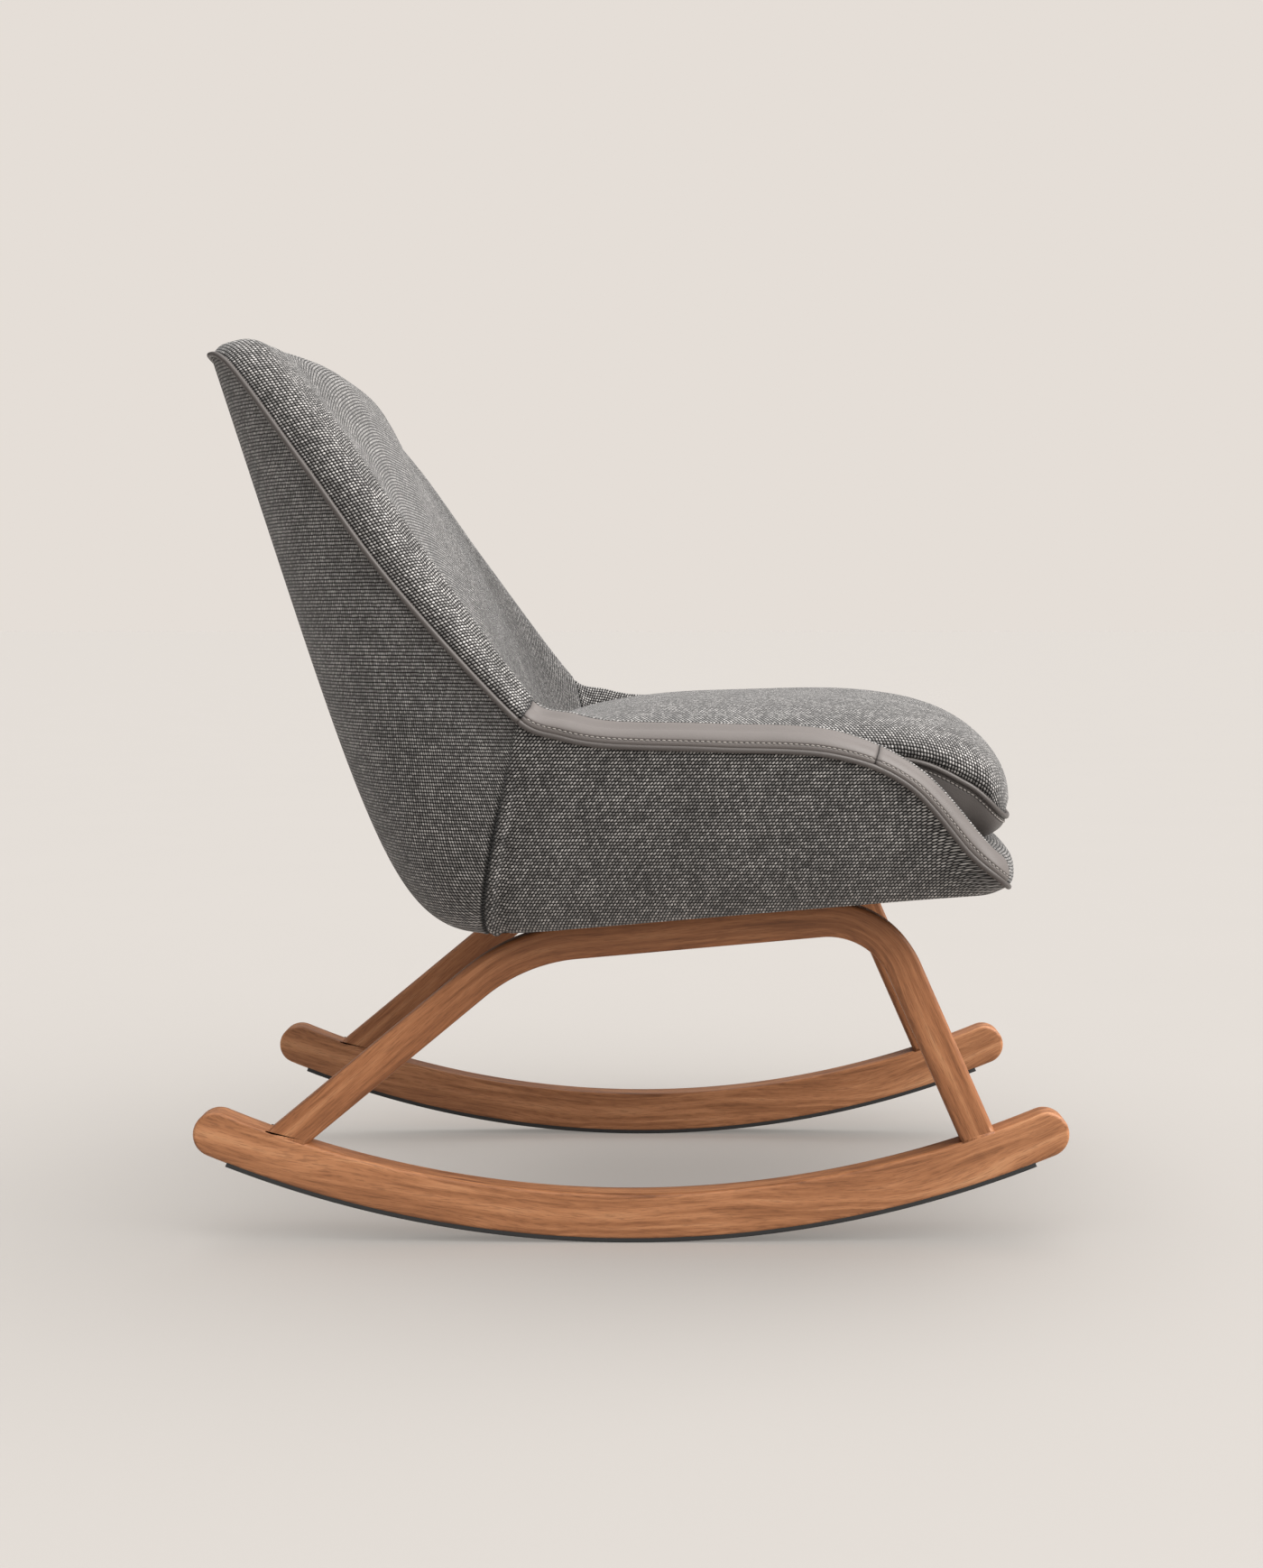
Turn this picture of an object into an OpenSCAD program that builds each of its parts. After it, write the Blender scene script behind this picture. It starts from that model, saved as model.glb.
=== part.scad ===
// Rocking chair: an upholstered shell with a loose seat cushion, carried by two
// bent wood leg frames on two wood rockers. Millimetres, +Z up, +X to the front,
// the origin on the floor under the middle of the rockers.

/* [Rockers and frames] */
// Length of each rocker from tip to tip
rocker_length = 780; // [700:10:860]
// Distance between the middle planes of the two rockers
rocker_pitch = 410; // [360:5:440]
// Thickness of the rockers and leg frames across the chair
timber_thickness = 27; // [22:1:32]
// Radius of the rolling edge, rubber strip included
rocker_radius = 1000; // [850:10:1200]
// Depth of the wood of a rocker
rocker_depth = 40; // [32:1:48]
// Thickness of the rubber strip let in under a rocker
strip_thickness = 3; // [2:0.5:5]
// Width of the bent leg frames seen from the side
frame_width = 31; // [26:1:36]
// Dowel diameter
dowel_d = 8; // [6:1:10]
// Shell bolt diameter
bolt_d = 6; // [5:1:8]

/* [Shell] */
// Overall width of the shell over the arms
shell_width = 684; // [640:4:720]
// Overall height of the chair
overall_height = 806; // [770:2:840]
// Thickness of the moulded inner shell
tub_thickness = 8; // [6:1:10]
// Thickness of fabric and leather with its lining
cover_thickness = 2; // [1.5:0.1:2.2]
// Diameter of the piping
piping_d = 5; // [4:0.5:5.5]
// Thickness of the padding of the back, with the hollow of the shell behind it
back_pad = 42; // [25:1:46]

/* [Cushion] */
// Height of the cushion crown above the floor
crown_height = 484; // [470:1:495]

/* [Hidden] */
$fn = 48;

wood = [0.50, 0.31, 0.20];
cloth = [0.50, 0.48, 0.47];
hide = [0.47, 0.43, 0.41];
foam = [0.90, 0.85, 0.62];
steel = [0.70, 0.71, 0.72];

gap = 0.3;
skin_gap = 1.2;
side_y = rocker_pitch / 2;
wy = shell_width / 684;
hz = (overall_height - 300) / 506;
t_c = cover_thickness;
t_1 = t_c + skin_gap;
t_2 = t_1 + tub_thickness;
t_3 = t_2 + skin_gap;
deck_h = 46;

// The seat plane: every flat layer of the seat lies parallel to it
seat_rise = 0.089;
seat_angle = atan(seat_rise);
seat_z0 = 287.4;
function seat_z(x) = seat_z0 + seat_rise * x;
function on_seat(x, y, h) = [x - h * sin(seat_angle), y, seat_z(x) + h * cos(seat_angle)];
function over_seat(x, y, h) = [x, y, seat_z(x) + h / cos(seat_angle)];
module seat_frame() translate([0, 0, seat_z0]) rotate([0, -seat_angle, 0]) children();

// ---------------------------------------------------------------- net of the shell
// One row a station, from the middle of the back round the left arm to the middle
// of the front: rim, foot of the outer skin (x, y), its first handle from the foot,
// its second handle, then the roll, crest, ridge, inner wall and deck edge (x, y).
station = [
    [[-388,0,790],[-140,0],[-88,0,-4],[-255,0,350],[-371,0,804],[-337,0,803],[-268,0,772],[-205,0,610],[-126,0]],
    [[-385,120,790],[-139,88],[-88,12,-4],[-250,108,350],[-369,120,803],[-335,118,802],[-268,112,770],[-203,112,610],[-126,92]],
    [[-374,215,789],[-137,150],[-84,24,-4],[-232,196,352],[-361,213,800],[-336,204,799],[-280,192,768],[-196,195,608],[-122,168]],
    [[-345,265,773],[-134,185],[-74,40,-4],[-215,248,356],[-331,264,785],[-312,252,789],[-280,230,757],[-183,236,595],[-108,214]],
    [[-275,302,684],[-129,207],[-58,54,-3],[-190,284,356],[-262,303,697],[-250,294,707],[-238,271,705],[-158,262,545],[-90,238]],
    [[-198,322,583],[-126,223],[-34,62,2],[-152,306,372],[-187,323,595],[-178,313,605],[-170,293,607],[-112,283,468],[-62,254]],
    [[-91,337,469],[-123.5,234],[-12,54,8],[-112,316,388],[-86,338,475],[-82,330,480],[-76,314,482],[-60,294,412],[-35,262]],
    [[-55,339.5,455],[-85,242],[-3,44,-2],[-66,321,384],[-53,341,463],[-49,334,469],[-43,318,472],[-38,297,405],[-15,265]],
    [[-15,341,448.5],[-30,246],[0,38,-2],[-18,323,385],[-14,342,456],[-13,335,462.5],[-10,319,466],[-8,298,402],[10,267]],
    [[75,342,445.5],[75,249],[0,36,-2],[75,323,384],[75,343,453],[75,336,460.5],[76,320,464],[76,299,401],[85,268]],
    [[171,336,440],[171,253],[0,34,-2],[172,318,384],[172,337,448],[173,330,455],[174,314,458],[173,294,400],[176,266]],
    [[236,325,414],[236,255],[0,28,-2],[238,309,370],[240,326,419],[244,319,424],[248,305,426],[242,288,390],[236,264]],
    [[290,309,354.5],[280,257],[4,22,-2],[284,297,338],[295,310,361],[300,303,367],[303,291,368],[292,277,364],[280,261]],
    [[318,298,331],[300,256],[8,16,-1],[312,288,322],[322,298,338],[321,288,349],[314,277,356],[302,266,359],[288,253]],
    [[329,262,322],[306,238],[8,6,-1],[320,254,317],[332,263,331],[330,256,346],[318,248,356],[306,240,359.5],[291,228]],
    [[338,200,318],[312,190],[8,2,-1],[328,197,315],[342,200,329],[339,198,345],[324,194,357],[309,190,360],[293,184]],
    [[345,100,317],[316,96],[8,1,-1],[333,99,315],[349,100,329],[345,99,346],[328,98,357.5],[312,96,360.5],[295,94]],
    [[348,0,317],[317,0],[8,0,-1],[335,0,315],[352,0,329],[348,0,346],[330,0,357.5],[313,0,360.5],[296,0]]
];
last = len(station) - 1;
turns = 2 * last;

function fit(p) = [p[0], p[1] * wy, p[2] < 300 ? p[2] : 300 + (p[2] - 300) * hz];
function foot_row(r) = let (b = [r[1][0], r[1][1], seat_z(r[1][0])])
    [fit(r[0]), fit(b), fit(b + r[2]), fit(r[3]), fit(r[4]), fit(r[5]), fit(r[6]), fit(r[7]),
     [r[8][0], r[8][1] * wy, seat_z(r[8][0]) + deck_h]];
function flip(r) = [for (p = r) [p[0], -p[1], p[2]]];
net = [for (i = [0 : turns - 1]) i <= last ? foot_row(station[i]) : flip(foot_row(station[turns - i]))];

function spline(a, b, c, d, t) = 0.5 * (2 * b + (c - a) * t + (2 * a - 5 * b + 4 * c - d) * t * t
    + (3 * b - a - 3 * c + d) * t * t * t);
function ring_at(table, s) = let (n = len(table), u = (s % n + n) % n, i = floor(u), t = u - i)
    spline(table[(i + n - 1) % n], table[i], table[(i + 1) % n], table[(i + 2) % n], t);
function bezier(a, b, c, d, v) = a * pow(1 - v, 3) + b * 3 * v * pow(1 - v, 2)
    + c * 3 * v * v * (1 - v) + d * v * v * v;
function line_at(p, w) = let (n = len(p) - 1, i = min(floor(w), n - 1), t = w - i)
    spline(i == 0 ? 2 * p[0] - p[1] : p[i - 1], p[i], p[i + 1],
           i + 2 > n ? 2 * p[n] - p[n - 1] : p[i + 2], t);
function steps(a, b, n) = [for (i = [0 : n]) a + (b - a) * i / n];

// Marks round the shell at which every layer is drawn, so that the layers nest
cut = 0.012;
back_end = 6;
band_seam = 10.5;
band_end = 13.3;
function tail(l) = [for (i = [1 : len(l) - 1]) l[i]];
back_marks = steps(-back_end + cut, back_end - cut, 30);
rear_arm = steps(back_end + cut, band_seam - cut, 12);
front_arm = steps(band_seam + cut, band_end - cut, 8);
arm_marks = concat(steps(back_end + cut, band_seam, 12), tail(steps(band_seam, band_end - cut, 8)));
arm_pad_marks = concat(steps(back_end + 0.06, band_seam, 12), tail(steps(band_seam, band_end - 0.1, 8)));
roll_marks = steps(band_end + cut, turns - band_end - cut, 18);
side_marks = concat(steps(back_end + cut, band_seam, 12), tail(steps(band_seam, band_end, 8)),
                    tail(steps(band_end, last - cut, 9)));
round_trip = concat(steps(-back_end, back_end, 30), tail(steps(back_end, band_seam, 12)),
    tail(steps(band_seam, band_end, 8)), tail(steps(band_end, turns - band_end, 18)),
    tail(steps(turns - band_end, turns - band_seam, 8)),
    [for (i = [1 : 11]) turns - band_seam + (band_seam - back_end) * i / 12]);
// The same marks on the other side of the chair
function mirrored(m) = [for (i = [len(m) - 1 : -1 : 0]) turns - m[i]];
// One more mark at each end, drawn only to find the normals there
function eased(m) = let (n = len(m) - 1) concat([2 * m[0] - m[1]], m, [2 * m[n] - m[n - 1]]);
function core(g) = [for (i = [1 : len(g) - 2]) g[i]];
function core_of_rows(g) = [for (r = g) core(r)];

// Outer skin from its foot to "rest" millimetres short of the rim
function skin_line(s, rest, n) = let (r = ring_at(net, s), m = norm(r[0] - r[3]),
    top = 1 - min(rest, 0.6 * m) / (3 * m))
    [for (v = steps(0, top, n)) bezier(r[1], r[2], r[3], r[0], v)];
// Inner skin between two marks: 5 at the deck edge, 0 at the rim
function wall_at(s, marks) = let (r = ring_at(net, s),
    p = [r[0], r[4], r[5], r[6], r[7], r[8]]) [for (w = marks) line_at(p, w)];
function wall_line(s, from, to, n) = wall_at(s, steps(from, to, n));
function near_rim(s, rest) = let (r = ring_at(net, s)) rest / norm(r[4] - r[0]);

// ---------------------------------------------------------------- grids and solids
function pick(g, i, wrap) = let (n = len(g)) wrap ? g[(i + n) % n] : g[max(0, min(n - 1, i))];
// A grid moved along its own normals by one distance, or by one for each point
function moved(g, d, wrap = false) = [for (i = [0 : len(g) - 1]) let (m = len(g[i]))
    [for (j = [0 : m - 1]) let (a = pick(g, i + 1, wrap)[j] - pick(g, i - 1, wrap)[j],
        b = g[i][min(m - 1, j + 1)] - g[i][max(0, j - 1)], c = cross(a, b))
        g[i][j] + c * (is_list(d) ? d[i][j] : d) / norm(c)]];
function two(a, b, c, d) = [[a, b, c], [a, c, d]];
function flat(g) = [for (r = g) each r];

// A solid between two grids of one size, their edges joined
module between(a, b) {
    n = len(a); m = len(a[0]); k = n * m;
    polyhedron(points = concat(flat(a), flat(b)), faces = concat(
        [for (i = [0 : n - 2], j = [0 : m - 2])
            each two(i * m + j, i * m + j + 1, (i + 1) * m + j + 1, (i + 1) * m + j)],
        [for (i = [0 : n - 2], j = [0 : m - 2])
            each two(k + i * m + j, k + (i + 1) * m + j, k + (i + 1) * m + j + 1, k + i * m + j + 1)],
        [for (i = [0 : n - 2]) each two((i + 1) * m, k + (i + 1) * m, k + i * m, i * m)],
        [for (i = [0 : n - 2]) let (p = i * m + m - 1) each two(p, k + p, k + p + m, p + m)],
        [for (j = [0 : m - 2]) each two(j, k + j, k + j + 1, j + 1)],
        [for (j = [0 : m - 2]) let (p = (n - 1) * m + j) each two(p + 1, k + p + 1, k + p, p)]));
}

// A solid between two bowls: rings run round, each row from the edge to the pole
module bowls(a, b) {
    n = len(a); m = len(a[0]); k = n * m;
    pa = [for (r = a) r[m - 1]]; pb = [for (r = b) r[m - 1]];
    one = [for (r = pa) 1];
    polyhedron(points = concat(flat(a), flat(b), [one * pa / n, one * pb / n]), faces = concat(
        [for (i = [0 : n - 1], j = [0 : m - 2]) let (q = (i + 1) % n)
            each two(i * m + j, i * m + j + 1, q * m + j + 1, q * m + j)],
        [for (i = [0 : n - 1], j = [0 : m - 2]) let (q = (i + 1) % n)
            each two(k + i * m + j, k + q * m + j, k + q * m + j + 1, k + i * m + j + 1)],
        [for (i = [0 : n - 1]) let (q = (i + 1) % n) each two(q * m, k + q * m, k + i * m, i * m)],
        [for (i = [0 : n - 1]) let (q = (i + 1) % n) [i * m + m - 1, 2 * k, q * m + m - 1]],
        [for (i = [0 : n - 1]) let (q = (i + 1) % n) [k + q * m + m - 1, 2 * k + 1, k + i * m + m - 1]]));
}

// A round cord along a line of points
module cord(p, r, closed = false) {
    n = len(p); m = 8;
    g = [for (i = [0 : n - 1]) let (
        t = closed ? p[(i + 1) % n] - p[(i + n - 1) % n] : p[min(n - 1, i + 1)] - p[max(0, i - 1)],
        a = cross(t, [0.1, 0.3, 1]), b = cross(t, a))
        [for (q = [0 : m - 1]) p[i] + r * (cos(360 * q / m) * a / norm(a) + sin(360 * q / m) * b / norm(b))]];
    e = closed ? n - 1 : n - 2;
    polyhedron(points = flat(g), faces = concat(
        [for (i = [0 : e], q = [0 : m - 1]) let (h = (i + 1) % n, w = (q + 1) % m)
            each two(i * m + q, h * m + q, h * m + w, i * m + w)],
        closed ? [] : [[for (q = [0 : m - 1]) q], [for (q = [m - 1 : -1 : 0]) (n - 1) * m + q]]));
}

// ---------------------------------------------------------------- timber base
top_r = rocker_radius - strip_thickness - rocker_depth;
wood_r = rocker_radius - strip_thickness;
mid_r = (top_r + wood_r) / 2;
tip_angle = asin((rocker_length / 2 - rocker_depth / 2) / mid_r);
strip_angle = tip_angle - 1.1;
function arc(c, r, a, b, n) = [for (t = steps(a, b, n)) c + r * [cos(t), sin(t)]];
roll_c = [0, rocker_radius];

// Draws a plan of x and z as a slab of timber lying in a side plane
module side_slab(y, t) translate([0, y + t / 2, 0]) rotate([90, 0, 0]) linear_extrude(t) children();

module rocker_plan() {
    end_c = roll_c + mid_r * [sin(tip_angle), -cos(tip_angle)];
    beg_c = roll_c + mid_r * [-sin(tip_angle), -cos(tip_angle)];
    polygon(concat(
        arc(roll_c, wood_r, -90 - tip_angle, -90 + tip_angle, 48),
        arc(end_c, rocker_depth / 2, -90 + tip_angle, 90 + tip_angle, 12),
        arc(roll_c, top_r, -90 + tip_angle, -90 - tip_angle, 48),
        arc(beg_c, rocker_depth / 2, 90 - tip_angle, 270 - tip_angle, 12)));
}

// Where the middle lines of the legs and the seat rail meet, and their directions
rail_z0 = seat_z0 - 0.4 - frame_width / 2 / cos(seat_angle);
rear_dir = [0.771, 0.637];
front_dir = [0.4016, -0.9157];
rear_foot = [-278.4, 115.4];
front_mid = [240.8, 248.4];
function on_rail(p, d) = p + d * (rail_z0 + seat_rise * p[0] - p[1]) / (d[1] - seat_rise * d[0]);
rear_knee = on_rail(rear_foot, rear_dir);
front_knee = on_rail(front_mid, front_dir);
rail_dir = [cos(seat_angle), sin(seat_angle)];
function left_of(d) = [-d[1], d[0]];
rear_turn = acos(rear_dir * rail_dir / norm(rear_dir));
front_turn = acos(front_dir * rail_dir / norm(front_dir));
rear_r = 165;
front_r = 74.5;
rear_bend_c = rear_knee + rail_dir * rear_r * tan(rear_turn / 2) - left_of(rail_dir) * rear_r;
front_bend_c = front_knee - rail_dir * front_r * tan(front_turn / 2) - left_of(rail_dir) * front_r;

module frame_plan() {
    h = frame_width / 2;
    foot_a = rear_foot - rear_dir * 90;
    foot_b = front_mid + front_dir * 260;
    a0 = 90 + seat_angle;
    intersection() {
        polygon(concat(
            [foot_a + left_of(rear_dir) * h],
            arc(rear_bend_c, rear_r + h, a0 + rear_turn, a0, 12),
            arc(front_bend_c, front_r + h, a0, a0 - front_turn, 14),
            [foot_b + left_of(front_dir) * h, foot_b - left_of(front_dir) * h],
            arc(front_bend_c, front_r - h, a0 - front_turn, a0, 14),
            arc(rear_bend_c, rear_r - h, a0, a0 + rear_turn, 12),
            [foot_a - left_of(rear_dir) * h]));
        polygon(arc(roll_c, top_r - 0.2, -150, -30, 120));
    }
}

// Dowel axes in the side plane: a point on the joint and a direction
function on_top(x) = [x, rocker_radius - sqrt(top_r * top_r - x * x)];
foot_pins = [[on_top(-312), rear_dir], [on_top(-298), rear_dir],
             [on_top(301.5), -front_dir], [on_top(314.5), -front_dir]];
rail_x = [-45, 145];
rail_w = 44;
rail_h = 26;

module foot_pin(p, y, d, l) let (a = atan2(p[1][1], p[1][0]))
    translate([p[0][0], y, p[0][1]]) rotate([0, -a, 0]) rotate([0, 90, 0]) cylinder(d = d, h = l, center = true);
module foot_pin_set(y, d, l) for (p = foot_pins) foot_pin(p, y, d, l);
module rail_pin_set(y, d, l) for (x = rail_x, k = [-11, 11])
    seat_frame() translate([x + k, y, -0.4 - rail_h / 2]) rotate([90, 0, 0]) cylinder(d = d, h = l, center = true);

module rocker(side) color(wood) difference() {
    side_slab(side * side_y, timber_thickness) rocker_plan();
    foot_pin_set(side * side_y, dowel_d + 0.2, 46);
}
module rocker_left() rocker(1);
module rocker_right() rocker(-1);

module glide_strip(side) color([0.08, 0.08, 0.08]) side_slab(side * side_y, timber_thickness - 1)
    polygon(concat(arc(roll_c, rocker_radius / cos(strip_angle / 31), -90 - strip_angle, -90 + strip_angle, 31),
                   arc(roll_c, wood_r + 0.05, -90 + strip_angle, -90 - strip_angle, 48)));
module glide_strip_left() glide_strip(1);
module glide_strip_right() glide_strip(-1);

module leg_frame(side) color(wood) difference() {
    side_slab(side * side_y, timber_thickness) frame_plan();
    foot_pin_set(side * side_y, dowel_d + 0.2, 66);
    rail_pin_set(side * (side_y - timber_thickness / 2), dowel_d + 0.2, 36);
}
module leg_frame_left() leg_frame(1);
module leg_frame_right() leg_frame(-1);

rail_len = rocker_pitch - timber_thickness - 0.4;
bolt_y = [-120, 120];
module cross_rail(x) color(wood) difference() {
    seat_frame() translate([x - rail_w / 2, -rail_len / 2, -0.4 - rail_h]) cube([rail_w, rail_len, rail_h]);
    for (s = [-1, 1]) rail_pin_set(s * (side_y - timber_thickness / 2), dowel_d + 0.2, 50);
    seat_frame() for (y = bolt_y) translate([x, y, -40]) cylinder(d = bolt_d + 0.8, h = 60);
}
module cross_rail_front() cross_rail(rail_x[1]);
module cross_rail_rear() cross_rail(rail_x[0]);

module foot_dowels() color([0.80, 0.68, 0.48]) for (s = [-1, 1]) foot_pin_set(s * side_y, dowel_d, 44);
module rail_dowels() color([0.80, 0.68, 0.48]) for (s = [-1, 1])
    rail_pin_set(s * (side_y - timber_thickness / 2), dowel_d, 34);

// ---------------------------------------------------------------- shell fixings
module at_bolts() seat_frame() for (x = rail_x, y = bolt_y) translate([x, y, 0]) children();
washer_t = 1.6;
module shell_bolts() color(steel) at_bolts() {
    translate([0, 0, -0.4 - rail_h - washer_t - 0.2 - 5]) cylinder(d = 12, h = 5);
    translate([0, 0, -0.4 - rail_h - washer_t - 0.2 - 0.01]) cylinder(d = bolt_d, h = rail_h + washer_t + 13);
}
module bolt_washers() color(steel) at_bolts() translate([0, 0, -0.4 - rail_h - washer_t - 0.1]) difference() {
    cylinder(d = 18, h = washer_t);
    translate([0, 0, -1]) cylinder(d = bolt_d + 0.6, h = washer_t + 2);
}
module tee_nuts() color(steel) at_bolts() difference() {
    union() {
        translate([0, 0, t_1]) cylinder(d = 8, h = tub_thickness + 0.2);
        translate([0, 0, t_2 + 0.1]) cylinder(d = 20, h = 1.5);
    }
    cylinder(d = bolt_d + 0.16, h = 40);
}

// ---------------------------------------------------------------- shell core
// Plans round the seat: the foot of the outer skin, the edge of the deck, and the inner of the two
function foot_xy(s) = let (b = ring_at(net, s)[1]) [b[0], b[1]];
function deck_xy(s) = let (e = ring_at(net, s)[8]) [e[0], e[1]];
seat_rows = [for (r = net) let (b = r[1], e = r[8])
    [abs(b[0]) < abs(e[0]) ? b[0] : e[0], abs(b[1]) < abs(e[1]) ? b[1] : e[1]]];
function seat_xy(s) = ring_at(seat_rows, s);
function set_in(a, p, b, d) = let (t = b - a) p + d * [t[1], -t[0]] / norm(t);
function foot_at(s, d) = set_in(foot_xy(s - 0.1), foot_xy(s), foot_xy(s + 0.1), d);
function deck_at(s, d) = set_in(deck_xy(s - 0.1), deck_xy(s), deck_xy(s + 0.1), d);
function seat_at(s, d) = set_in(seat_xy(s - 0.1), seat_xy(s), seat_xy(s + 0.1), d);

function tub_grid() = [for (s = round_trip) let (l = skin_line(s, 25, 10), f = l[0], m = len(l) - 1)
    concat([for (j = [m : -1 : 0]) l[j]],
           [for (k = [0.6, 0.1]) on_seat(90 + (f[0] - 90) * k, f[1] * k, 0)])];
module structural_shell() color([0.72, 0.58, 0.40]) difference() {
    g = tub_grid();
    bowls(moved(g, -t_1, true), moved(g, -t_2, true));
    at_bolts() translate([0, 0, -10]) cylinder(d = 8.4, h = 40);
}

// A flat layer of the seat inside a closed plan, which is drawn at the height "at" over the seat plane
module seat_layer(low, high, plan, at = 0) seat_frame() translate([0, 0, low]) linear_extrude(high - low)
    polygon([for (p = plan) [(p[0] + at * sin(seat_angle)) / cos(seat_angle), p[1]]]);

module dust_cover() color([0.10, 0.10, 0.10]) difference() {
    seat_layer(0, t_c, [for (s = round_trip) foot_at(s, 2.5)]);
    at_bolts() translate([0, 0, -10]) cylinder(d = 12, h = 30);
}
module seat_deck_foam() color(foam) difference() {
    seat_layer(t_3, deck_h - t_1 - gap, [for (s = round_trip) seat_at(s, 3)]);
    at_bolts() translate([0, 0, -1]) cylinder(d = 24, h = t_2 + 6);
}
module deck_cover() color([0.14, 0.14, 0.15])
    seat_layer(deck_h - t_c, deck_h, [for (s = round_trip) deck_at(s, 1)], deck_h);

// Padding between the moulded shell and the inner covers
pad_in = t_1 + 0.5;
pad_out = t_3 + 0.5;
pad_top = deck_h - t_1 - 0.5;
function pad_wall(marks) = core(moved([for (s = eased(marks)) wall_line(s, 5, near_rim(s, 8), 10)], -pad_in));
function pad_skin(marks, n) = core(moved([for (s = eased(marks)) skin_line(s, 9, n)], pad_out));
// In the arms and the front roll it fills the shell down to the deck
module full_padding(marks) color(foam) {
    w = pad_wall(marks);
    between(pad_skin(marks, 12), [for (k = [0 : len(marks) - 1]) let (f = seat_at(marks[k], 1.5), e = w[k][0])
        concat([on_seat(f[0], f[1], t_3 + 0.7), on_seat(f[0], f[1], pad_top), over_seat(e[0], e[1], pad_top)],
               tail(w[k]))]);
}
// In the back it is a layer behind the inner cover, thinner where the shell is and at its ends
back_rows = [5, 4.5, 4, 3.5, 3, 2.75, 2.5, 2.25, 2, 1.5, 1, 0.6];
function room(o, i, p) = max(2, min([for (k = [max(0, i - 6) : min(len(o) - 1, i + 6)], q = o[k]) norm(q - p)]) - 1.5);
module layer_padding(marks) color(foam) {
    e = eased(marks);
    w = [for (s = e) let (end = near_rim(s, 8)) [for (k = [0 : 12])
        k == 12 ? end : max(back_rows[k], end + 0.05 * (12 - k))] ];
    g = [for (i = [0 : len(e) - 1]) wall_at(e[i], w[i])];
    o = moved([for (s = e) skin_line(s, 9, 40)], pad_out);
    far = moved([for (s = e) skin_line(s, 9, 12)], pad_out);
    near = moved(g, -pad_in);
    deep = moved(g, [for (i = [0 : len(e) - 1]) [for (p = near[i]) -pad_in - min(back_pad, room(o, i, p))]]);
    // towards the arms it runs to the foot of the shell, as the seam of the side does
    out = [for (i = [0 : len(e) - 1]) let (b = max(0, min(1, (abs(e[i]) - 3.6) / 1.2)))
        [for (j = [0 : 12]) let (p = near[i][j], q = far[i][j] - p)
            deep[i][j] * (1 - b) + (p + q * min(1, 0.7 * back_pad / norm(q))) * b]];
    between(core(out), core(near));
}
module back_foam() layer_padding(steps(-5.94, 5.94, 30));
module arm_foam_left() full_padding(arm_pad_marks);
module arm_foam_right() full_padding(mirrored(arm_pad_marks));
module front_roll_foam() full_padding(roll_marks);

// ---------------------------------------------------------------- covers
module skin_panel(marks) let (g = [for (s = eased(marks)) skin_line(s, 5.8, 10)])
    between(core(g), core(moved(g, t_c)));
// A panel of the inner skin along the given marks of each row, on to the rim if "rim" is true
module wall_panel(marks, rows, rim) let (n = len(rows) - 1, g = [for (s = eased(marks)) let (
        end = near_rim(s, 3.6), top = rim ? [end, 0.6 * end] : [rows[n] - 0.15])
        wall_at(s, concat([rows[0] + 0.15], rows, top))])
    between(core(core_of_rows(moved(g, -t_c))), core(core_of_rows(g)));
arm_rows = [5, 4.6, 4.2, 3.8, 3.35, 2.86];
band_rows = [2.6, 2.3, 2, 1.6, 1.2, 0.8];

module outer_cover_back() color(cloth) skin_panel(back_marks);
module outer_cover_left() color(cloth) skin_panel(side_marks);
module outer_cover_right() color(cloth) skin_panel(mirrored(side_marks));
module inner_cover_back() color(cloth) wall_panel(back_marks, back_rows, true);
module inner_cover_left() color(cloth) wall_panel(arm_marks, arm_rows, false);
module inner_cover_right() color(cloth) wall_panel(mirrored(arm_marks), arm_rows, false);
module front_roll_cover() color(cloth) wall_panel(roll_marks, [5, 4.5, 4, 3.5, 3, 2.5, 2, 1.5, 1, 0.6], true);
module arm_band_rear_left() color(hide) wall_panel(rear_arm, band_rows, true);
module arm_band_rear_right() color(hide) wall_panel(mirrored(rear_arm), band_rows, true);
module arm_band_front_left() color(hide) wall_panel(front_arm, band_rows, true);
module arm_band_front_right() color(hide) wall_panel(mirrored(front_arm), band_rows, true);

arm_cord = concat([back_end + 0.03], tail(arm_marks), [13.65, 14]);
module rim_cord(marks) color(hide) cord([for (s = marks) ring_at(net, s)[0]], piping_d / 2);
module back_piping() rim_cord(steps(-back_end + 0.03, back_end - 0.03, 30));
module arm_bead_left() rim_cord(arm_cord);
module arm_bead_right() rim_cord(mirrored(arm_cord));

// ---------------------------------------------------------------- loose seat cushion
// Half of the welt, then half of the edge of the flat underside, rear to front
welt_half = [[-134,0,404], [-131,120,404], [-113,212,406], [-64,274,411], [20,288,419], [130,289,428],
    [233,286,434], [290,281,412], [321,264,386], [337,190,378], [347,95,375], [351,0,374]];
base_half = [[-120,0], [-118,90], [-101,188], [-54,240], [15,257], [125,258],
    [225,256], [274,248], [298,230], [309,172], [314,86], [316,0]];
base_h = deck_h + 0.5;
cushion_c = [115, 0];
wn = len(welt_half) - 1;
function cushion_row(i) = let (w = welt_half[i], b = base_half[i])
    [[w[0], w[1] * wy, w[2]], [b[0], b[1] * wy, on_seat(b[0], 0, base_h)[2]]];
rows = [for (i = [0 : 2 * wn - 1]) i <= wn ? cushion_row(i) : flip(cushion_row(2 * wn - i))];
trip = [for (i = [0 : 2 * (2 * wn) - 1]) i / 2];

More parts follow.
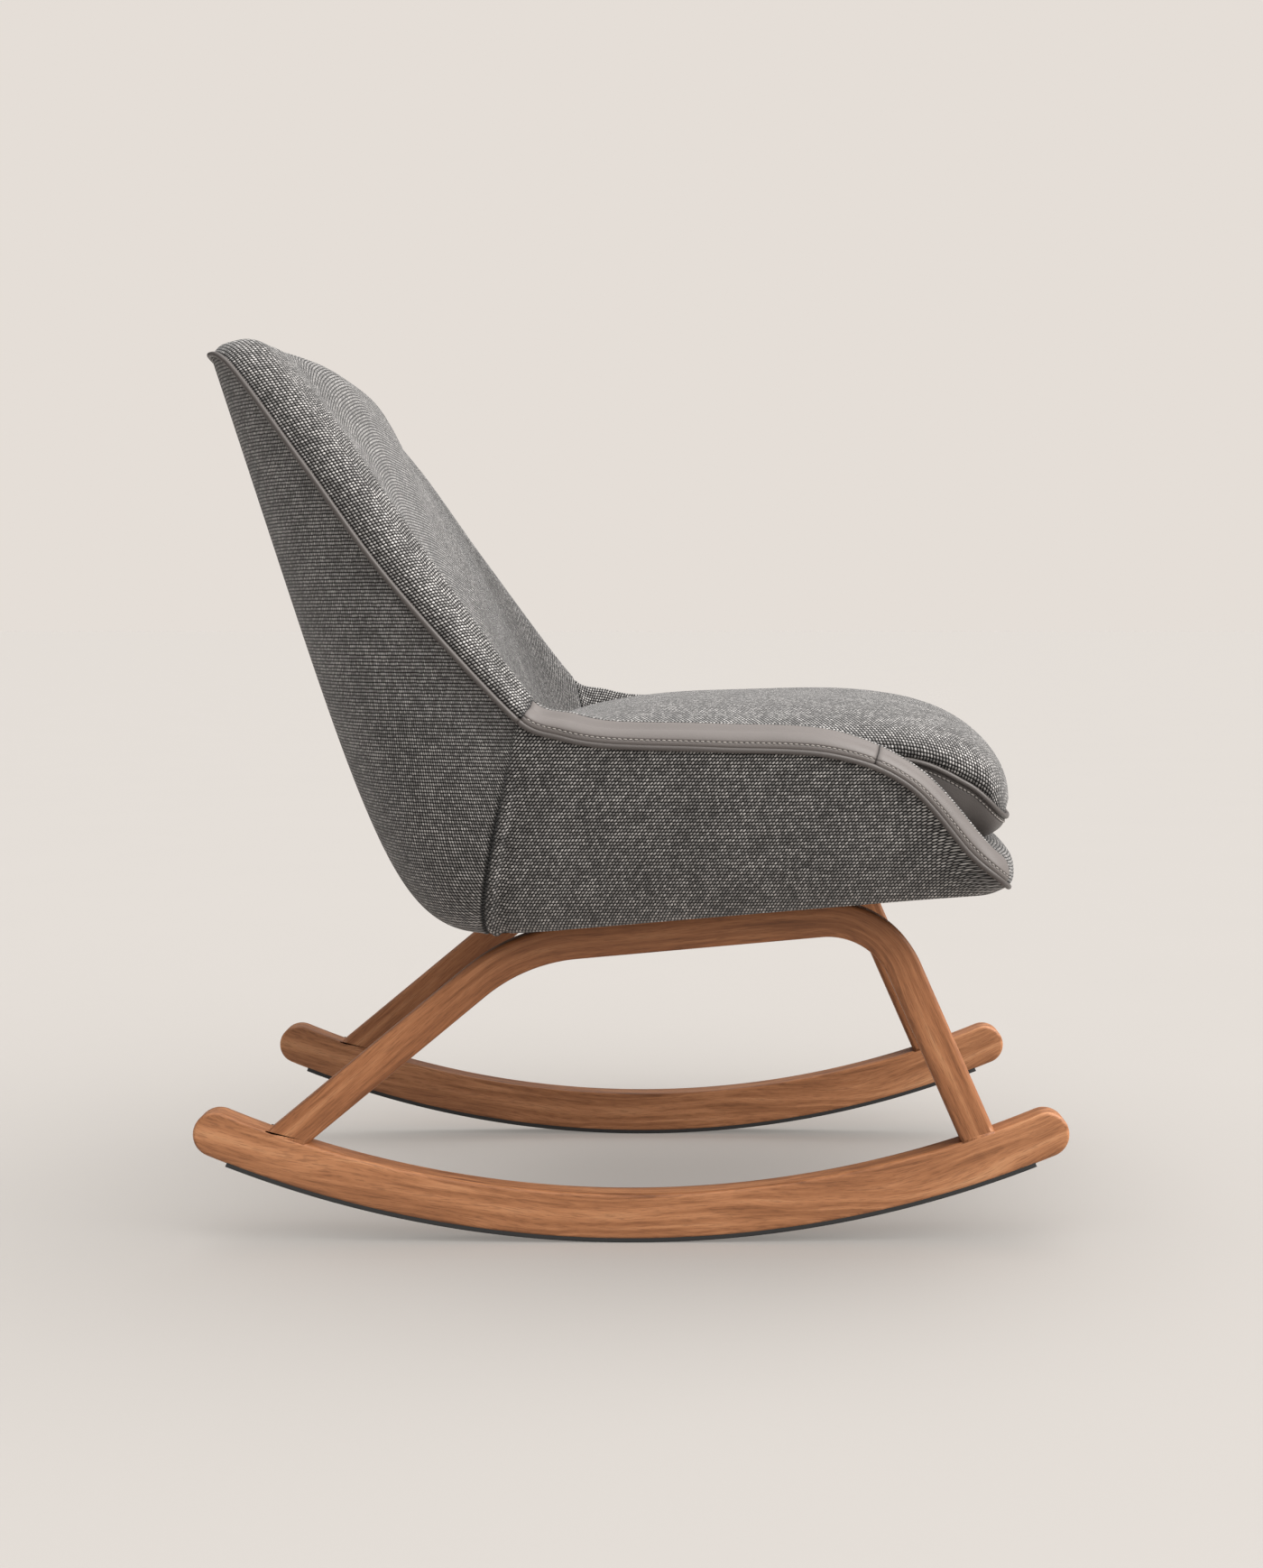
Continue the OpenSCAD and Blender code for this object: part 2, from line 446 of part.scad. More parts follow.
function crown_line(s, n) = let (w = ring_at(rows, s)[0], d = [w[0], w[1]] - cushion_c,
    q = d[0] / norm(d), a = q > 0 ? 3.2 + 1.5 * q : 3.2 + 1.2 * q)
    [for (r = [1, 0.985, 0.95, 0.88, 0.77, 0.62, 0.45, 0.25, 0.08]) let (
        h = sqrt(max(0, 1 - pow(r, a))), k = r * (1 + 0.11 * h * (1 - h)))
        [cushion_c[0] + d[0] * k, d[1] * k, w[2] + (crown_height - w[2]) * h]];
function under_line(s) = let (r = ring_at(rows, s), w = r[0], b = r[1],
    d = [b[0], b[1]] - cushion_c,
    m = [w[0] + (b[0] - w[0]) * 0.22, w[1] + (b[1] - w[1]) * 0.22, (w[2] + b[2]) / 2 - 4])
    concat([for (v = [0, 0.25, 0.5, 0.75, 1]) w * pow(1 - v, 2) + m * 2 * v * (1 - v) + b * v * v],
           [for (k = [0.9, 0.6, 0.3, 0.08]) let (x = cushion_c[0] + d[0] * k)
               [x, d[1] * k, on_seat(x, 0, base_h)[2]]]);
function crown_grid() = [for (s = trip) crown_line(s)];
function under_grid() = [for (s = trip) under_line(s)];

module cushion_foam() color(foam) bowls(moved(drawn_in(crown_grid()), t_1, true), moved(drawn_in(under_grid()), -t_1, true));
// The same grid without its edge ring, which the welt takes up
function drawn_in(g) = [for (r = g) [for (j = [0 : len(r) - 1]) j == 0 ? r[0] * 0.2 + r[1] * 0.8 : r[j]]];
function off_edge(g, d) = [for (r = g) [for (j = [0 : len(r) - 1])
    j == 0 ? r[0] + d * (r[1] - r[0]) / norm(r[1] - r[0]) : r[j]]];
module cushion_top_cover() color(cloth) let (g = off_edge(crown_grid(), 3)) bowls(moved(g, t_c, true), g);
module cushion_lower_cover() color(hide) let (g = off_edge(under_grid(), 3)) bowls(moved(g, -t_c, true), g);
module cushion_piping() color(hide) cord([for (s = trip) ring_at(rows, s)[0]], piping_d / 2, closed = true);
// Zip tape along the rear boxing
module cushion_zip() color([0.12, 0.12, 0.12]) let (g = [for (k = steps(-2, 2, 8)) let (r = under_line(k))
    [r[1] * 0.7 + r[2] * 0.3, r[1] * 0.25 + r[2] * 0.75]]) between(moved(g, 0.6), moved(g, 2.2));

rocker_left();
rocker_right();
glide_strip_left();
glide_strip_right();
leg_frame_left();
leg_frame_right();
cross_rail_front();
cross_rail_rear();
foot_dowels();
rail_dowels();
shell_bolts();
bolt_washers();
tee_nuts();
structural_shell();
dust_cover();
seat_deck_foam();
deck_cover();
back_foam();
arm_foam_left();
arm_foam_right();
front_roll_foam();
outer_cover_back();
outer_cover_left();
outer_cover_right();
inner_cover_back();
inner_cover_left();
inner_cover_right();
front_roll_cover();
arm_band_rear_left();
arm_band_rear_right();
arm_band_front_left();
arm_band_front_right();
back_piping();
arm_bead_left();
arm_bead_right();
cushion_foam();
cushion_top_cover();
cushion_lower_cover();
cushion_piping();
cushion_zip();
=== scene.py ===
"""Rocking chair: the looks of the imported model. Sizes in the tables are millimetres, as in part.scad."""
import math
import bmesh
import bpy
import numpy as np
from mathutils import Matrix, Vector


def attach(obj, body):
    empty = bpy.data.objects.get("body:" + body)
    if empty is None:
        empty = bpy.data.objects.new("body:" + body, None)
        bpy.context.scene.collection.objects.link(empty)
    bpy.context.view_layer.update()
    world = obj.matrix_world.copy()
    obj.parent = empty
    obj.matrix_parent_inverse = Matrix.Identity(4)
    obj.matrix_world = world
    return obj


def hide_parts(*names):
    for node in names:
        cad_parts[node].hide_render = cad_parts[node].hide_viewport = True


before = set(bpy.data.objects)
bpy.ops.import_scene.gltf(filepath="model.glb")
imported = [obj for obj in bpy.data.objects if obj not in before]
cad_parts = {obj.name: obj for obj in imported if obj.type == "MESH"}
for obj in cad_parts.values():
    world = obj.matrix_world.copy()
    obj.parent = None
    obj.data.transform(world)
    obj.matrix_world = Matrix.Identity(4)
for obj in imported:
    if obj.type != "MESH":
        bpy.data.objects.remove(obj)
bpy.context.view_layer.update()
MM = 0.001
CHAIR, CUSHION = "chair", "seat_cushion"

# ------------------------------------------------------------------ net of the shell, as in part.scad
# One row a station, from the middle of the back round the left arm to the middle of the front: rim, foot of the
# outer skin (x, y), first handle measured from the foot, second handle, and roll; then crest, ridge, inner wall
# and deck edge (x, y).
STATIONS = [
    [(-388, 0, 790), (-140, 0), (-88, 0, -4), (-255, 0, 350), (-371, 0, 804),
     (-337, 0, 803), (-268, 0, 772), (-205, 0, 610), (-126, 0)],
    [(-385, 120, 790), (-139, 88), (-88, 12, -4), (-250, 108, 350), (-369, 120, 803),
     (-335, 118, 802), (-268, 112, 770), (-203, 112, 610), (-126, 92)],
    [(-374, 215, 789), (-137, 150), (-84, 24, -4), (-232, 196, 352), (-361, 213, 800),
     (-336, 204, 799), (-280, 192, 768), (-196, 195, 608), (-122, 168)],
    [(-345, 265, 773), (-134, 185), (-74, 40, -4), (-215, 248, 356), (-331, 264, 785),
     (-312, 252, 789), (-280, 230, 757), (-183, 236, 595), (-108, 214)],
    [(-275, 302, 684), (-129, 207), (-58, 54, -3), (-190, 284, 356), (-262, 303, 697),
     (-250, 294, 707), (-238, 271, 705), (-158, 262, 545), (-90, 238)],
    [(-198, 322, 583), (-126, 223), (-34, 62, 2), (-152, 306, 372), (-187, 323, 595),
     (-178, 313, 605), (-170, 293, 607), (-112, 283, 468), (-62, 254)],
    [(-91, 337, 469), (-123.5, 234), (-12, 54, 8), (-112, 316, 388), (-86, 338, 475),
     (-82, 330, 480), (-76, 314, 482), (-60, 294, 412), (-35, 262)],
    [(-55, 339.5, 455), (-85, 242), (-3, 44, -2), (-66, 321, 384), (-53, 341, 463),
     (-49, 334, 469), (-43, 318, 472), (-38, 297, 405), (-15, 265)],
    [(-15, 341, 448.5), (-30, 246), (0, 38, -2), (-18, 323, 385), (-14, 342, 456),
     (-13, 335, 462.5), (-10, 319, 466), (-8, 298, 402), (10, 267)],
    [(75, 342, 445.5), (75, 249), (0, 36, -2), (75, 323, 384), (75, 343, 453),
     (75, 336, 460.5), (76, 320, 464), (76, 299, 401), (85, 268)],
    [(171, 336, 440), (171, 253), (0, 34, -2), (172, 318, 384), (172, 337, 448),
     (173, 330, 455), (174, 314, 458), (173, 294, 400), (176, 266)],
    [(236, 325, 414), (236, 255), (0, 28, -2), (238, 309, 370), (240, 326, 419),
     (244, 319, 424), (248, 305, 426), (242, 288, 390), (236, 264)],
    [(290, 309, 354.5), (280, 257), (4, 22, -2), (284, 297, 338), (295, 310, 361),
     (300, 303, 367), (303, 291, 368), (292, 277, 364), (280, 261)],
    [(318, 298, 331), (300, 256), (8, 16, -1), (312, 288, 322), (322, 298, 338),
     (321, 288, 349), (314, 277, 356), (302, 266, 359), (288, 253)],
    [(329, 262, 322), (306, 238), (8, 6, -1), (320, 254, 317), (332, 263, 331),
     (330, 256, 346), (318, 248, 356), (306, 240, 359.5), (291, 228)],
    [(338, 200, 318), (312, 190), (8, 2, -1), (328, 197, 315), (342, 200, 329),
     (339, 198, 345), (324, 194, 357), (309, 190, 360), (293, 184)],
    [(345, 100, 317), (316, 96), (8, 1, -1), (333, 99, 315), (349, 100, 329),
     (345, 99, 346), (328, 98, 357.5), (312, 96, 360.5), (295, 94)],
    [(348, 0, 317), (317, 0), (8, 0, -1), (335, 0, 315), (352, 0, 329),
     (348, 0, 346), (330, 0, 357.5), (313, 0, 360.5), (296, 0)],
]
# The loose cushion, in the same order: its welt, and the edge of its underside (x, y)
WELT = [(-134, 0, 404), (-131, 120, 404), (-113, 212, 406), (-64, 274, 411), (20, 288, 419), (130, 289, 428),
        (233, 286, 434), (290, 281, 412), (321, 264, 386), (337, 190, 378), (347, 95, 375), (351, 0, 374)]
BASE = [(-120, 0), (-118, 90), (-101, 188), (-54, 240), (15, 257), (125, 258),
        (225, 256), (274, 248), (298, 230), (309, 172), (314, 86), (316, 0)]
SEAT_Z0, SEAT_RISE, DECK_H = 287.4, 0.089, 46.0
SEAT_ANGLE = math.atan(SEAT_RISE)
# Stations: the side seam, the seam in the arm band, the ends of band and bead, and the middle of the front
BACK_END, BAND_SEAM, BAND_END, BEAD_END, FRONT_MIDDLE = 6.0, 10.5, 13.3, 14.0, 17
CREST_SEAM = 2.65      # mark on the inner wall where leather meets tweed
CROWN_H, CUSHION_C = 484.0, (115.0, 0.0)
PIPING_R, COVER_T = 2.5, 2.0
DECK_GAP = 0.5         # between the deck cloth and the underside of the cushion


def seat_z(x):
    return SEAT_Z0 + SEAT_RISE * x


def both_sides(half):
    """A closed ring of rows from one half: the other half is its mirror image in Y."""
    other = half[-2:0:-1].copy()
    other[..., 1] *= -1
    return np.concatenate([half, other])


def station_row(row):
    """The nine points of one station, all in the chair's own frame."""
    p = [np.array(c, float) for c in row]
    foot = np.array([*p[1], seat_z(p[1][0])])
    deck = np.array([*p[8], seat_z(p[8][0]) + DECK_H])
    return [p[0], foot, foot + p[2], *p[3:8], deck]


NET = both_sides(np.array([station_row(r) for r in STATIONS]))
TURNS = len(NET)
ROWS = both_sides(np.array([[w, (*b, seat_z(b[0]) + DECK_H + DECK_GAP)] for w, b in zip(WELT, BASE)], float))


def spline(a, b, c, d, t):
    """Catmull-Rom curve from b to c."""
    return 0.5 * (2 * b + (c - a) * t + (2 * a - 5 * b + 4 * c - d) * t**2 + (3 * b - a - 3 * c + d) * t**3)


def held(tangent, chord, most=1.25):
    """A tangent no longer than most times its chord, so that a short step between stations has no kink."""
    size = np.maximum(np.linalg.norm(tangent, axis=-1, keepdims=True), 1e-9)
    return tangent * np.minimum(1, most * np.linalg.norm(chord, axis=-1, keepdims=True) / size)


def ring_at(table, s):
    """Rows of a closed table at marks s, on a smooth curve through its rows."""
    n = len(table)
    u = np.mod(np.asarray(s, float), n)
    i = np.floor(u).astype(int) % n
    t = (u - np.floor(u)).reshape(-1, 1, 1)
    a, b, c, d = table[i - 1], table[i], table[(i + 1) % n], table[(i + 2) % n]
    m0, m1 = held((c - a) / 2, c - b), held((d - b) / 2, c - b)
    return b * (1 + 2 * t) * (1 - t)**2 + m0 * t * (1 - t)**2 + c * t * t * (3 - 2 * t) + m1 * t * t * (t - 1)


def skin(s, v):
    """Outer skin: v is 0 at its foot and 1 at the rim."""
    r = ring_at(NET, s)[:, None]
    v = np.asarray(v)[None, :, None]
    a, b, c, d = r[:, :, 1], r[:, :, 2], r[:, :, 3], r[:, :, 0]
    return a * (1 - v)**3 + 3 * b * v * (1 - v)**2 + 3 * c * v * v * (1 - v) + d * v**3


def wall(s, w):
    """Inner skin: w is 0 at the rim and 5 at the deck edge."""
    r = ring_at(NET, s)
    p = r[:, [0, 4, 5, 6, 7, 8]]
    p = np.concatenate([2 * p[:, :1] - p[:, 1:2], p, 2 * p[:, -1:] - p[:, -2:-1]], axis=1)
    w = np.asarray(w, float)
    i = np.minimum(np.floor(w).astype(int), 4)
    t = (w - i)[None, :, None]
    return spline(p[:, i], p[:, i + 1], p[:, i + 2], p[:, i + 3], t)


def normals(g, closed=False):
    """Unit normals of a grid: towards the sitter when rows run up and stations run round to the left."""
    if closed:
        du = np.roll(g, -1, 0) - np.roll(g, 1, 0)
    else:
        du = np.gradient(g, axis=0)
    n = np.cross(du, np.gradient(g, axis=1))
    return n / np.maximum(np.linalg.norm(n, axis=-1, keepdims=True), 1e-9)


def surface_normals(fn, s, v, low, high):
    """Normals of the outer or the inner skin, taken on the smooth surface so that neighbouring panels agree."""
    h = 0.01
    du = fn(s + h, v) - fn(s - h, v)
    dv = fn(s, np.minimum(v + h, high)) - fn(s, np.maximum(v - h, low))
    n = np.cross(du, dv)
    return n / np.maximum(np.linalg.norm(n, axis=-1, keepdims=True), 1e-9)


def run_length(g, axis):
    """Distance along a grid's lines from its first row."""
    d = np.linalg.norm(np.diff(g, axis=axis), axis=-1)
    z = np.zeros_like(np.take(d, [0], axis=axis))
    return np.concatenate([z, np.cumsum(d, axis=axis)], axis=axis)


def crowded(a, b, n, first=0.02, last=0.02, extra=6):
    """Marks from a to b, closer together near both ends, where the seams roll under."""
    t = np.concatenate([np.linspace(0, 1, n), np.linspace(0, first, extra), 1 - np.linspace(0, last, extra)])
    return a + (b - a) * np.unique(np.round(t, 6))


# ------------------------------------------------------------------ meshes
def grid_faces(n, m, closed=False, offset=0, flip=False):
    """Four-sided faces of a grid of n lines of m points. closed joins the last line to the first."""
    i = np.arange(n if closed else n - 1)
    j = np.arange(m - 1)
    i, j = np.meshgrid(i, j, indexing="ij")
    k = (i + 1) % n
    q = np.stack([i * m + j, i * m + j + 1, k * m + j + 1, k * m + j], -1).reshape(-1, 4) + offset
    return q[:, ::-1] if flip else q


def make_object(name, verts, faces, mat, body, coords=None, nodes=()):
    """A mesh piece in metres from points in millimetres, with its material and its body."""
    me = bpy.data.meshes.new(name)
    me.from_pydata([tuple(p) for p in np.asarray(verts) * MM], [], [tuple(int(i) for i in f) for f in faces])
    me.update()
    if coords is not None:
        at = me.attributes.new("cloth_xy", "FLOAT_VECTOR", "POINT")
        at.data.foreach_set("vector", (np.asarray(coords) * MM).astype(np.float32).ravel())
    me.polygons.foreach_set("use_smooth", [True] * len(me.polygons))
    ob = bpy.data.objects.new(name, me)
    bpy.context.scene.collection.objects.link(ob)
    me.materials.append(mat)
    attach(ob, body)
    if nodes:
        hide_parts(*nodes)
    return ob


def sheet_piece(name, g, inward, mat, nodes, coords):
    """A cover of the shell: a closed thin solid with the grid g outside, and g moved inward on its inside.
    inward holds unit vectors."""
    n, m = g.shape[:2]
    k = n * m
    a, b = g.reshape(-1, 3), (g + inward * COVER_T).reshape(-1, 3)
    faces = [grid_faces(n, m), grid_faces(n, m, False, k, True)]
    i, j = np.arange(n - 1), np.arange(m - 1)
    for j0, flip in ((0, False), (m - 1, True)):
        q = np.stack([i * m + j0, (i + 1) * m + j0, k + (i + 1) * m + j0, k + i * m + j0], -1)
        faces.append(q[:, ::-1] if flip else q)
    for i0, flip in ((0, True), (n - 1, False)):
        q = np.stack([i0 * m + j, i0 * m + j + 1, k + i0 * m + j + 1, k + i0 * m + j], -1)
        faces.append(q[:, ::-1] if flip else q)
    both = np.concatenate([coords.reshape(-1, 3)] * 2)
    ob = make_object(name, np.concatenate([a, b]), np.concatenate(faces), mat, CHAIR, both, nodes)
    fix_normals(ob)
    return ob


def fix_normals(ob):
    bm = bmesh.new()
    bm.from_mesh(ob.data)
    bmesh.ops.recalc_face_normals(bm, faces=bm.faces)
    bm.to_mesh(ob.data)
    bm.free()


def tube_mesh(path, r, sides=12, closed=False):
    """Points and faces of a round cord along a path."""
    p = np.asarray(path, float)
    n = len(p)
    t = np.roll(p, -1, 0) - np.roll(p, 1, 0) if closed else np.gradient(p, axis=0)
    t /= np.linalg.norm(t, axis=1, keepdims=True)
    a = np.cross(t, [0.1, 0.3, 1.0])
    a /= np.linalg.norm(a, axis=1, keepdims=True)
    b = np.cross(t, a)
    q = np.linspace(0, 2 * np.pi, sides, endpoint=False)
    r = np.broadcast_to(np.asarray(r, float), (n,))[:, None, None]
    v = p[:, None] + r * (np.cos(q)[None, :, None] * a[:, None] + np.sin(q)[None, :, None] * b[:, None])
    i = np.arange(n if closed else n - 1)
    j = np.arange(sides)
    i, j = np.meshgrid(i, j, indexing="ij")
    k, w = (i + 1) % n, (j + 1) % sides
    q = np.stack([i * sides + j, k * sides + j, k * sides + w, i * sides + w], -1).reshape(-1, 4)
    f = [tuple(x) for x in q]
    if not closed:
        f += [tuple(range(sides)), tuple(range((n - 1) * sides, n * sides))[::-1]]
    return v.reshape(-1, 3), f


def cord_piece(name, path, body, nodes, closed=False):
    """Leather piping along a path."""
    v, f = tube_mesh(path, PIPING_R, closed=closed)
    ob = make_object(name, v, f, PIPING, body, nodes=nodes)
    fix_normals(ob)
    return ob


def spaced(path, step):
    """Points and directions at equal steps along a line."""
    path = np.asarray(path, float)
    d = np.concatenate([[0], np.cumsum(np.linalg.norm(np.diff(path, axis=0), axis=1))])
    at = np.arange(step / 2, d[-1] - step / 4, step)
    def put(x):
        return np.stack([np.interp(x, d, path[:, k]) for k in range(3)], 1)
    p = put(at)
    t = put(np.minimum(at + 1, d[-1])) - put(np.maximum(at - 1, 0))
    return p, t / np.linalg.norm(t, axis=1, keepdims=True)


def stitch_piece(name, path, body, step=4.6, length=3.2, r=0.55):
    """A row of sewn stitches: short thread humps that dip into the cover at both ends."""
    p, t = spaced(path, step)
    verts, faces = [], []
    profile = np.array([-1, -0.85, -0.5, 0, 0.5, 0.85, 1.0])
    for c, d in zip(p, t):
        line = c + d * profile[:, None] * length / 2
        v, f = tube_mesh(line, r * np.sqrt(np.maximum(1 - profile**2, 0.06)), 6)
        o = len(verts) * len(v)
        verts.append(v)
        faces += [tuple(i + o for i in q) for q in f]
    return make_object(name, np.concatenate(verts), faces, THREAD, body)


# ------------------------------------------------------------------ materials
class Nodes:
    """Short ways to add and join shader nodes."""

    def __init__(self, name):
        self.mat = bpy.data.materials.new(name)
        self.mat.use_nodes = True
        self.tree = self.mat.node_tree
        self.bsdf = self.tree.nodes["Principled BSDF"]

    def put(self, value, socket):
        if isinstance(value, bpy.types.NodeSocket):
            self.tree.links.new(value, socket)
        elif value is not None:
            socket.default_value = value

    def node(self, kind, inputs=(), out=0, **settings):
        n = self.tree.nodes.new(kind)
        for k, v in settings.items():
            setattr(n, k, v)
        for k, v in dict(inputs).items():
            self.put(v, n.inputs[k])
        return n.outputs[out]

    def math(self, op, a, b=None, c=None):
        n = self.tree.nodes.new("ShaderNodeMath")
        n.operation = op
        for k, v in enumerate((a, b, c)):
            self.put(v, n.inputs[k])
        return n.outputs[0]

    def vmath(self, op, a, b=None):
        n = self.tree.nodes.new("ShaderNodeVectorMath")
        n.operation = op
        for k, v in enumerate((a, b)):
            self.put(v, n.inputs[k])
        return n.outputs[0]

    def noise(self, vector, scale, detail=2.0, rough=0.5, distort=0.0):
        return self.node("ShaderNodeTexNoise", {"Vector": vector, "Scale": scale, "Detail": detail,
                                                "Roughness": rough, "Distortion": distort})

    def ramp(self, fac, stops):
        n = self.tree.nodes.new("ShaderNodeValToRGB")
        e = n.color_ramp.elements
        while len(e) < len(stops):
            e.new(0.5)
        for k, (pos, col) in enumerate(stops):
            e[k].position = pos
            e[k].color = (*col, 1.0)
        self.put(fac, n.inputs[0])
        return n.outputs[0]

    def mix(self, fac, a, b, blend="MIX"):
        n = self.tree.nodes.new("ShaderNodeMix")
        n.data_type, n.blend_type = "RGBA", blend
        self.put(fac, n.inputs[0])
        for k, v in ((6, a), (7, b)):
            self.put((*v, 1.0) if isinstance(v, tuple) else v, n.inputs[k])
        return n.outputs[2]

    def range(self, value, lo, hi, to_lo, to_hi):
        n = self.tree.nodes.new("ShaderNodeMapRange")
        for k, v in enumerate((value, lo, hi, to_lo, to_hi)):
            self.put(v, n.inputs[k])
        return n.outputs[0]

    def bump(self, height, distance, strength=1.0):
        return self.node("ShaderNodeBump", {"Height": height, "Distance": distance, "Strength": strength})

    def finish(self, **sockets):
        for k, v in sockets.items():
            self.put(v, self.bsdf.inputs[k.replace("_", " ")])
        return self.mat


def object_coords(m):
    return m.node("ShaderNodeTexCoord", out=3)


def tweed(name, dark, mid, light, pitch=(2.9, 3.1), bump_mm=0.9):
    """Basket-weave tweed: slanted seeds of thread in staggered rows, each with its own tone, over gaps painted
    near black as the shade between the threads.
    The third cloth coordinate paints shade into it beside seams and in creases."""
    m = Nodes(name)
    at = m.node("ShaderNodeAttribute", attribute_name="cloth_xy", out=1)
    flat = m.node("ShaderNodeSeparateXYZ", {0: at}).node
    xy = m.node("ShaderNodeCombineXYZ", {0: flat.outputs[0], 1: flat.outputs[1]})
    drift = m.node("ShaderNodeTexNoise", {"Vector": xy, "Scale": 140.0, "Detail": 1.0}, out=1)
    drift = m.vmath("SUBTRACT", drift, (0.5, 0.5, 0.5))
    drift = m.vmath("MULTIPLY", drift, (0.0009, 0.0009, 0.0))
    sep = m.node("ShaderNodeSeparateXYZ", {0: m.vmath("ADD", xy, drift)}).node
    v = m.math("DIVIDE", sep.outputs[1], pitch[1] * MM)
    row = m.math("FLOOR", v)
    fv = m.math("SUBTRACT", v, row)
    half = m.math("FRACT", m.math("MULTIPLY", row, 0.5))
    slant = m.math("ADD", half, m.math("MULTIPLY", fv, 0.35))
    u = m.math("ADD", m.math("DIVIDE", sep.outputs[0], pitch[0] * MM), slant)
    col = m.math("FLOOR", u)
    fu = m.math("SUBTRACT", u, col)
    hu = m.math("SINE", m.math("MULTIPLY", fu, math.pi))
    hv = m.math("SINE", m.math("MULTIPLY", fv, math.pi))
    seed = m.math("MULTIPLY", m.math("POWER", hu, 1.3), m.math("POWER", hv, 1.0))
    cell = m.node("ShaderNodeCombineXYZ", {0: col, 1: row})
    own = m.node("ShaderNodeTexWhiteNoise", {"Vector": cell}, noise_dimensions="3D")
    patch = m.noise(xy, 26.0, 2.0, 0.5)
    slub = m.noise(m.vmath("MULTIPLY", xy, (1.0, 7.0, 1.0)), 30.0, 2.0, 0.6)
    shade = m.math("ADD", m.math("MULTIPLY", patch, 0.34), m.math("MULTIPLY", slub, 0.22))
    shade = m.math("ADD", m.math("MULTIPLY", own, 0.40), shade)
    top = m.ramp(m.range(shade, 0.20, 0.76, 0.0, 1.0), [(0.0, dark), (0.50, mid), (1.0, light)])
    # painted shade: the gaps between the seeds are painted near black for the shade between the threads
    painted_gap_shade = tuple(c * 0.05 for c in dark)
    color = m.mix(m.range(seed, 0.22, 0.70, 0.0, 1.0), painted_gap_shade, top)
    fibre = m.noise(xy, 1400.0, 2.0, 0.7)
    color = m.mix(m.range(fibre, 0.3, 0.7, 0.0, 0.15), color, (0.0, 0.0, 0.0))
    # painted shade: the third cloth coordinate darkens the tweed towards black beside seams and in creases
    color = m.mix(m.math("DIVIDE", flat.outputs[2], MM), color, (0.004, 0.004, 0.004))
    height = m.math("ADD", seed, m.math("MULTIPLY", fibre, 0.15))
    n = m.bump(height, bump_mm * MM, 1.0)
    return m.finish(Base_Color=color, Roughness=0.92, Normal=n, Sheen_Weight=0.25, Sheen_Roughness=0.45,
                    Specular_IOR_Level=0.15)


def leather(name, base, rough=0.46):
    """Fine-grained satin leather: pebbles, pores, slow shade changes."""
    m = Nodes(name)
    co = object_coords(m)
    patch = m.noise(co, 22.0, 3.0, 0.55)
    pebble = m.node("ShaderNodeTexVoronoi", {"Vector": co, "Scale": 1150.0})
    fine = m.noise(co, 2600.0, 2.0, 0.6)
    color = m.mix(patch, tuple(c * 0.86 for c in base), tuple(min(1, c * 1.12) for c in base))
    color = m.mix(m.range(pebble, 0.0, 0.55, 0.22, 0.0), color, tuple(c * 0.55 for c in base))
    # painted shade: the third cloth coordinate darkens the leather beside its seams, along its stitches and at
    # its bead
    at = m.node("ShaderNodeAttribute", attribute_name="cloth_xy", out=1)
    painted_shade = m.math("DIVIDE", m.node("ShaderNodeSeparateXYZ", {0: at}, out=2), MM)
    color = m.mix(painted_shade, color, tuple(c * 0.04 for c in base))
    height = m.math("ADD", pebble, m.math("MULTIPLY", fine, 0.4))
    n = m.bump(height, 0.10 * MM, 0.8)
    r = m.range(patch, 0.3, 0.7, rough - 0.05, rough + 0.07)
    return m.finish(Base_Color=color, Roughness=r, Normal=n, Specular_IOR_Level=0.42)


def walnut(name, tint=(1.0, 1.0, 1.0), wave=0.0):
    """Oiled wood: streaks and pores along the bend, read from each piece's own along-and-across coordinates."""
    def tone(color):
        return tuple(a * b for a, b in zip(color, tint))

    m = Nodes(name)
    co = m.node("ShaderNodeAttribute", attribute_name="cloth_xy", out=1)
    slow = m.vmath("MULTIPLY", co, (2.2, 9.0, 9.0))
    bend = m.node("ShaderNodeTexNoise", {"Vector": slow, "Scale": 1.0, "Detail": 2.0})
    sep = m.node("ShaderNodeSeparateXYZ", {0: co}).node
    sway = m.math("MULTIPLY", m.math("SUBTRACT", bend, 0.5), 0.05 + wave)
    across = m.math("ADD", sep.outputs[1], sway)
    deep = m.math("ADD", sep.outputs[2], m.math("MULTIPLY", across, 0.35))
    along = m.math("MULTIPLY", sep.outputs[0], 0.045)
    grain_co = m.node("ShaderNodeCombineXYZ", {0: along, 1: across, 2: deep})
    rings = m.noise(grain_co, 210.0, 4.0, 0.62, 0.35)
    broad = m.noise(grain_co, 48.0, 2.0, 0.5, 0.2)
    along = m.math("MULTIPLY", sep.outputs[0], 0.05)
    pore_co = m.node("ShaderNodeCombineXYZ", {0: along, 1: across, 2: deep})
    pores = m.noise(pore_co, 1500.0, 2.0, 0.6)
    f = m.math("ADD", m.math("MULTIPLY", rings, 0.62), m.math("MULTIPLY", broad, 0.5))
    color = m.ramp(m.range(f, 0.36, 0.80, 0.0, 1.0),
                   [(0.0, tone((0.165, 0.062, 0.026))), (0.35, tone((0.345, 0.140, 0.058))),
                    (0.62, tone((0.475, 0.207, 0.092))), (1.0, tone((0.600, 0.305, 0.150)))])
    color = m.mix(m.range(pores, 0.50, 0.64, 0.0, 0.35), color, tone((0.07, 0.026, 0.012)))
    n = m.bump(m.math("ADD", m.math("MULTIPLY", pores, -0.7), m.math("MULTIPLY", rings, 0.3)), 0.12 * MM, 0.7)
    gloss = m.range(rings, 0.3, 0.7, 0.42, 0.54)
    return m.finish(Base_Color=color, Roughness=gloss, Normal=n, Specular_IOR_Level=0.35)


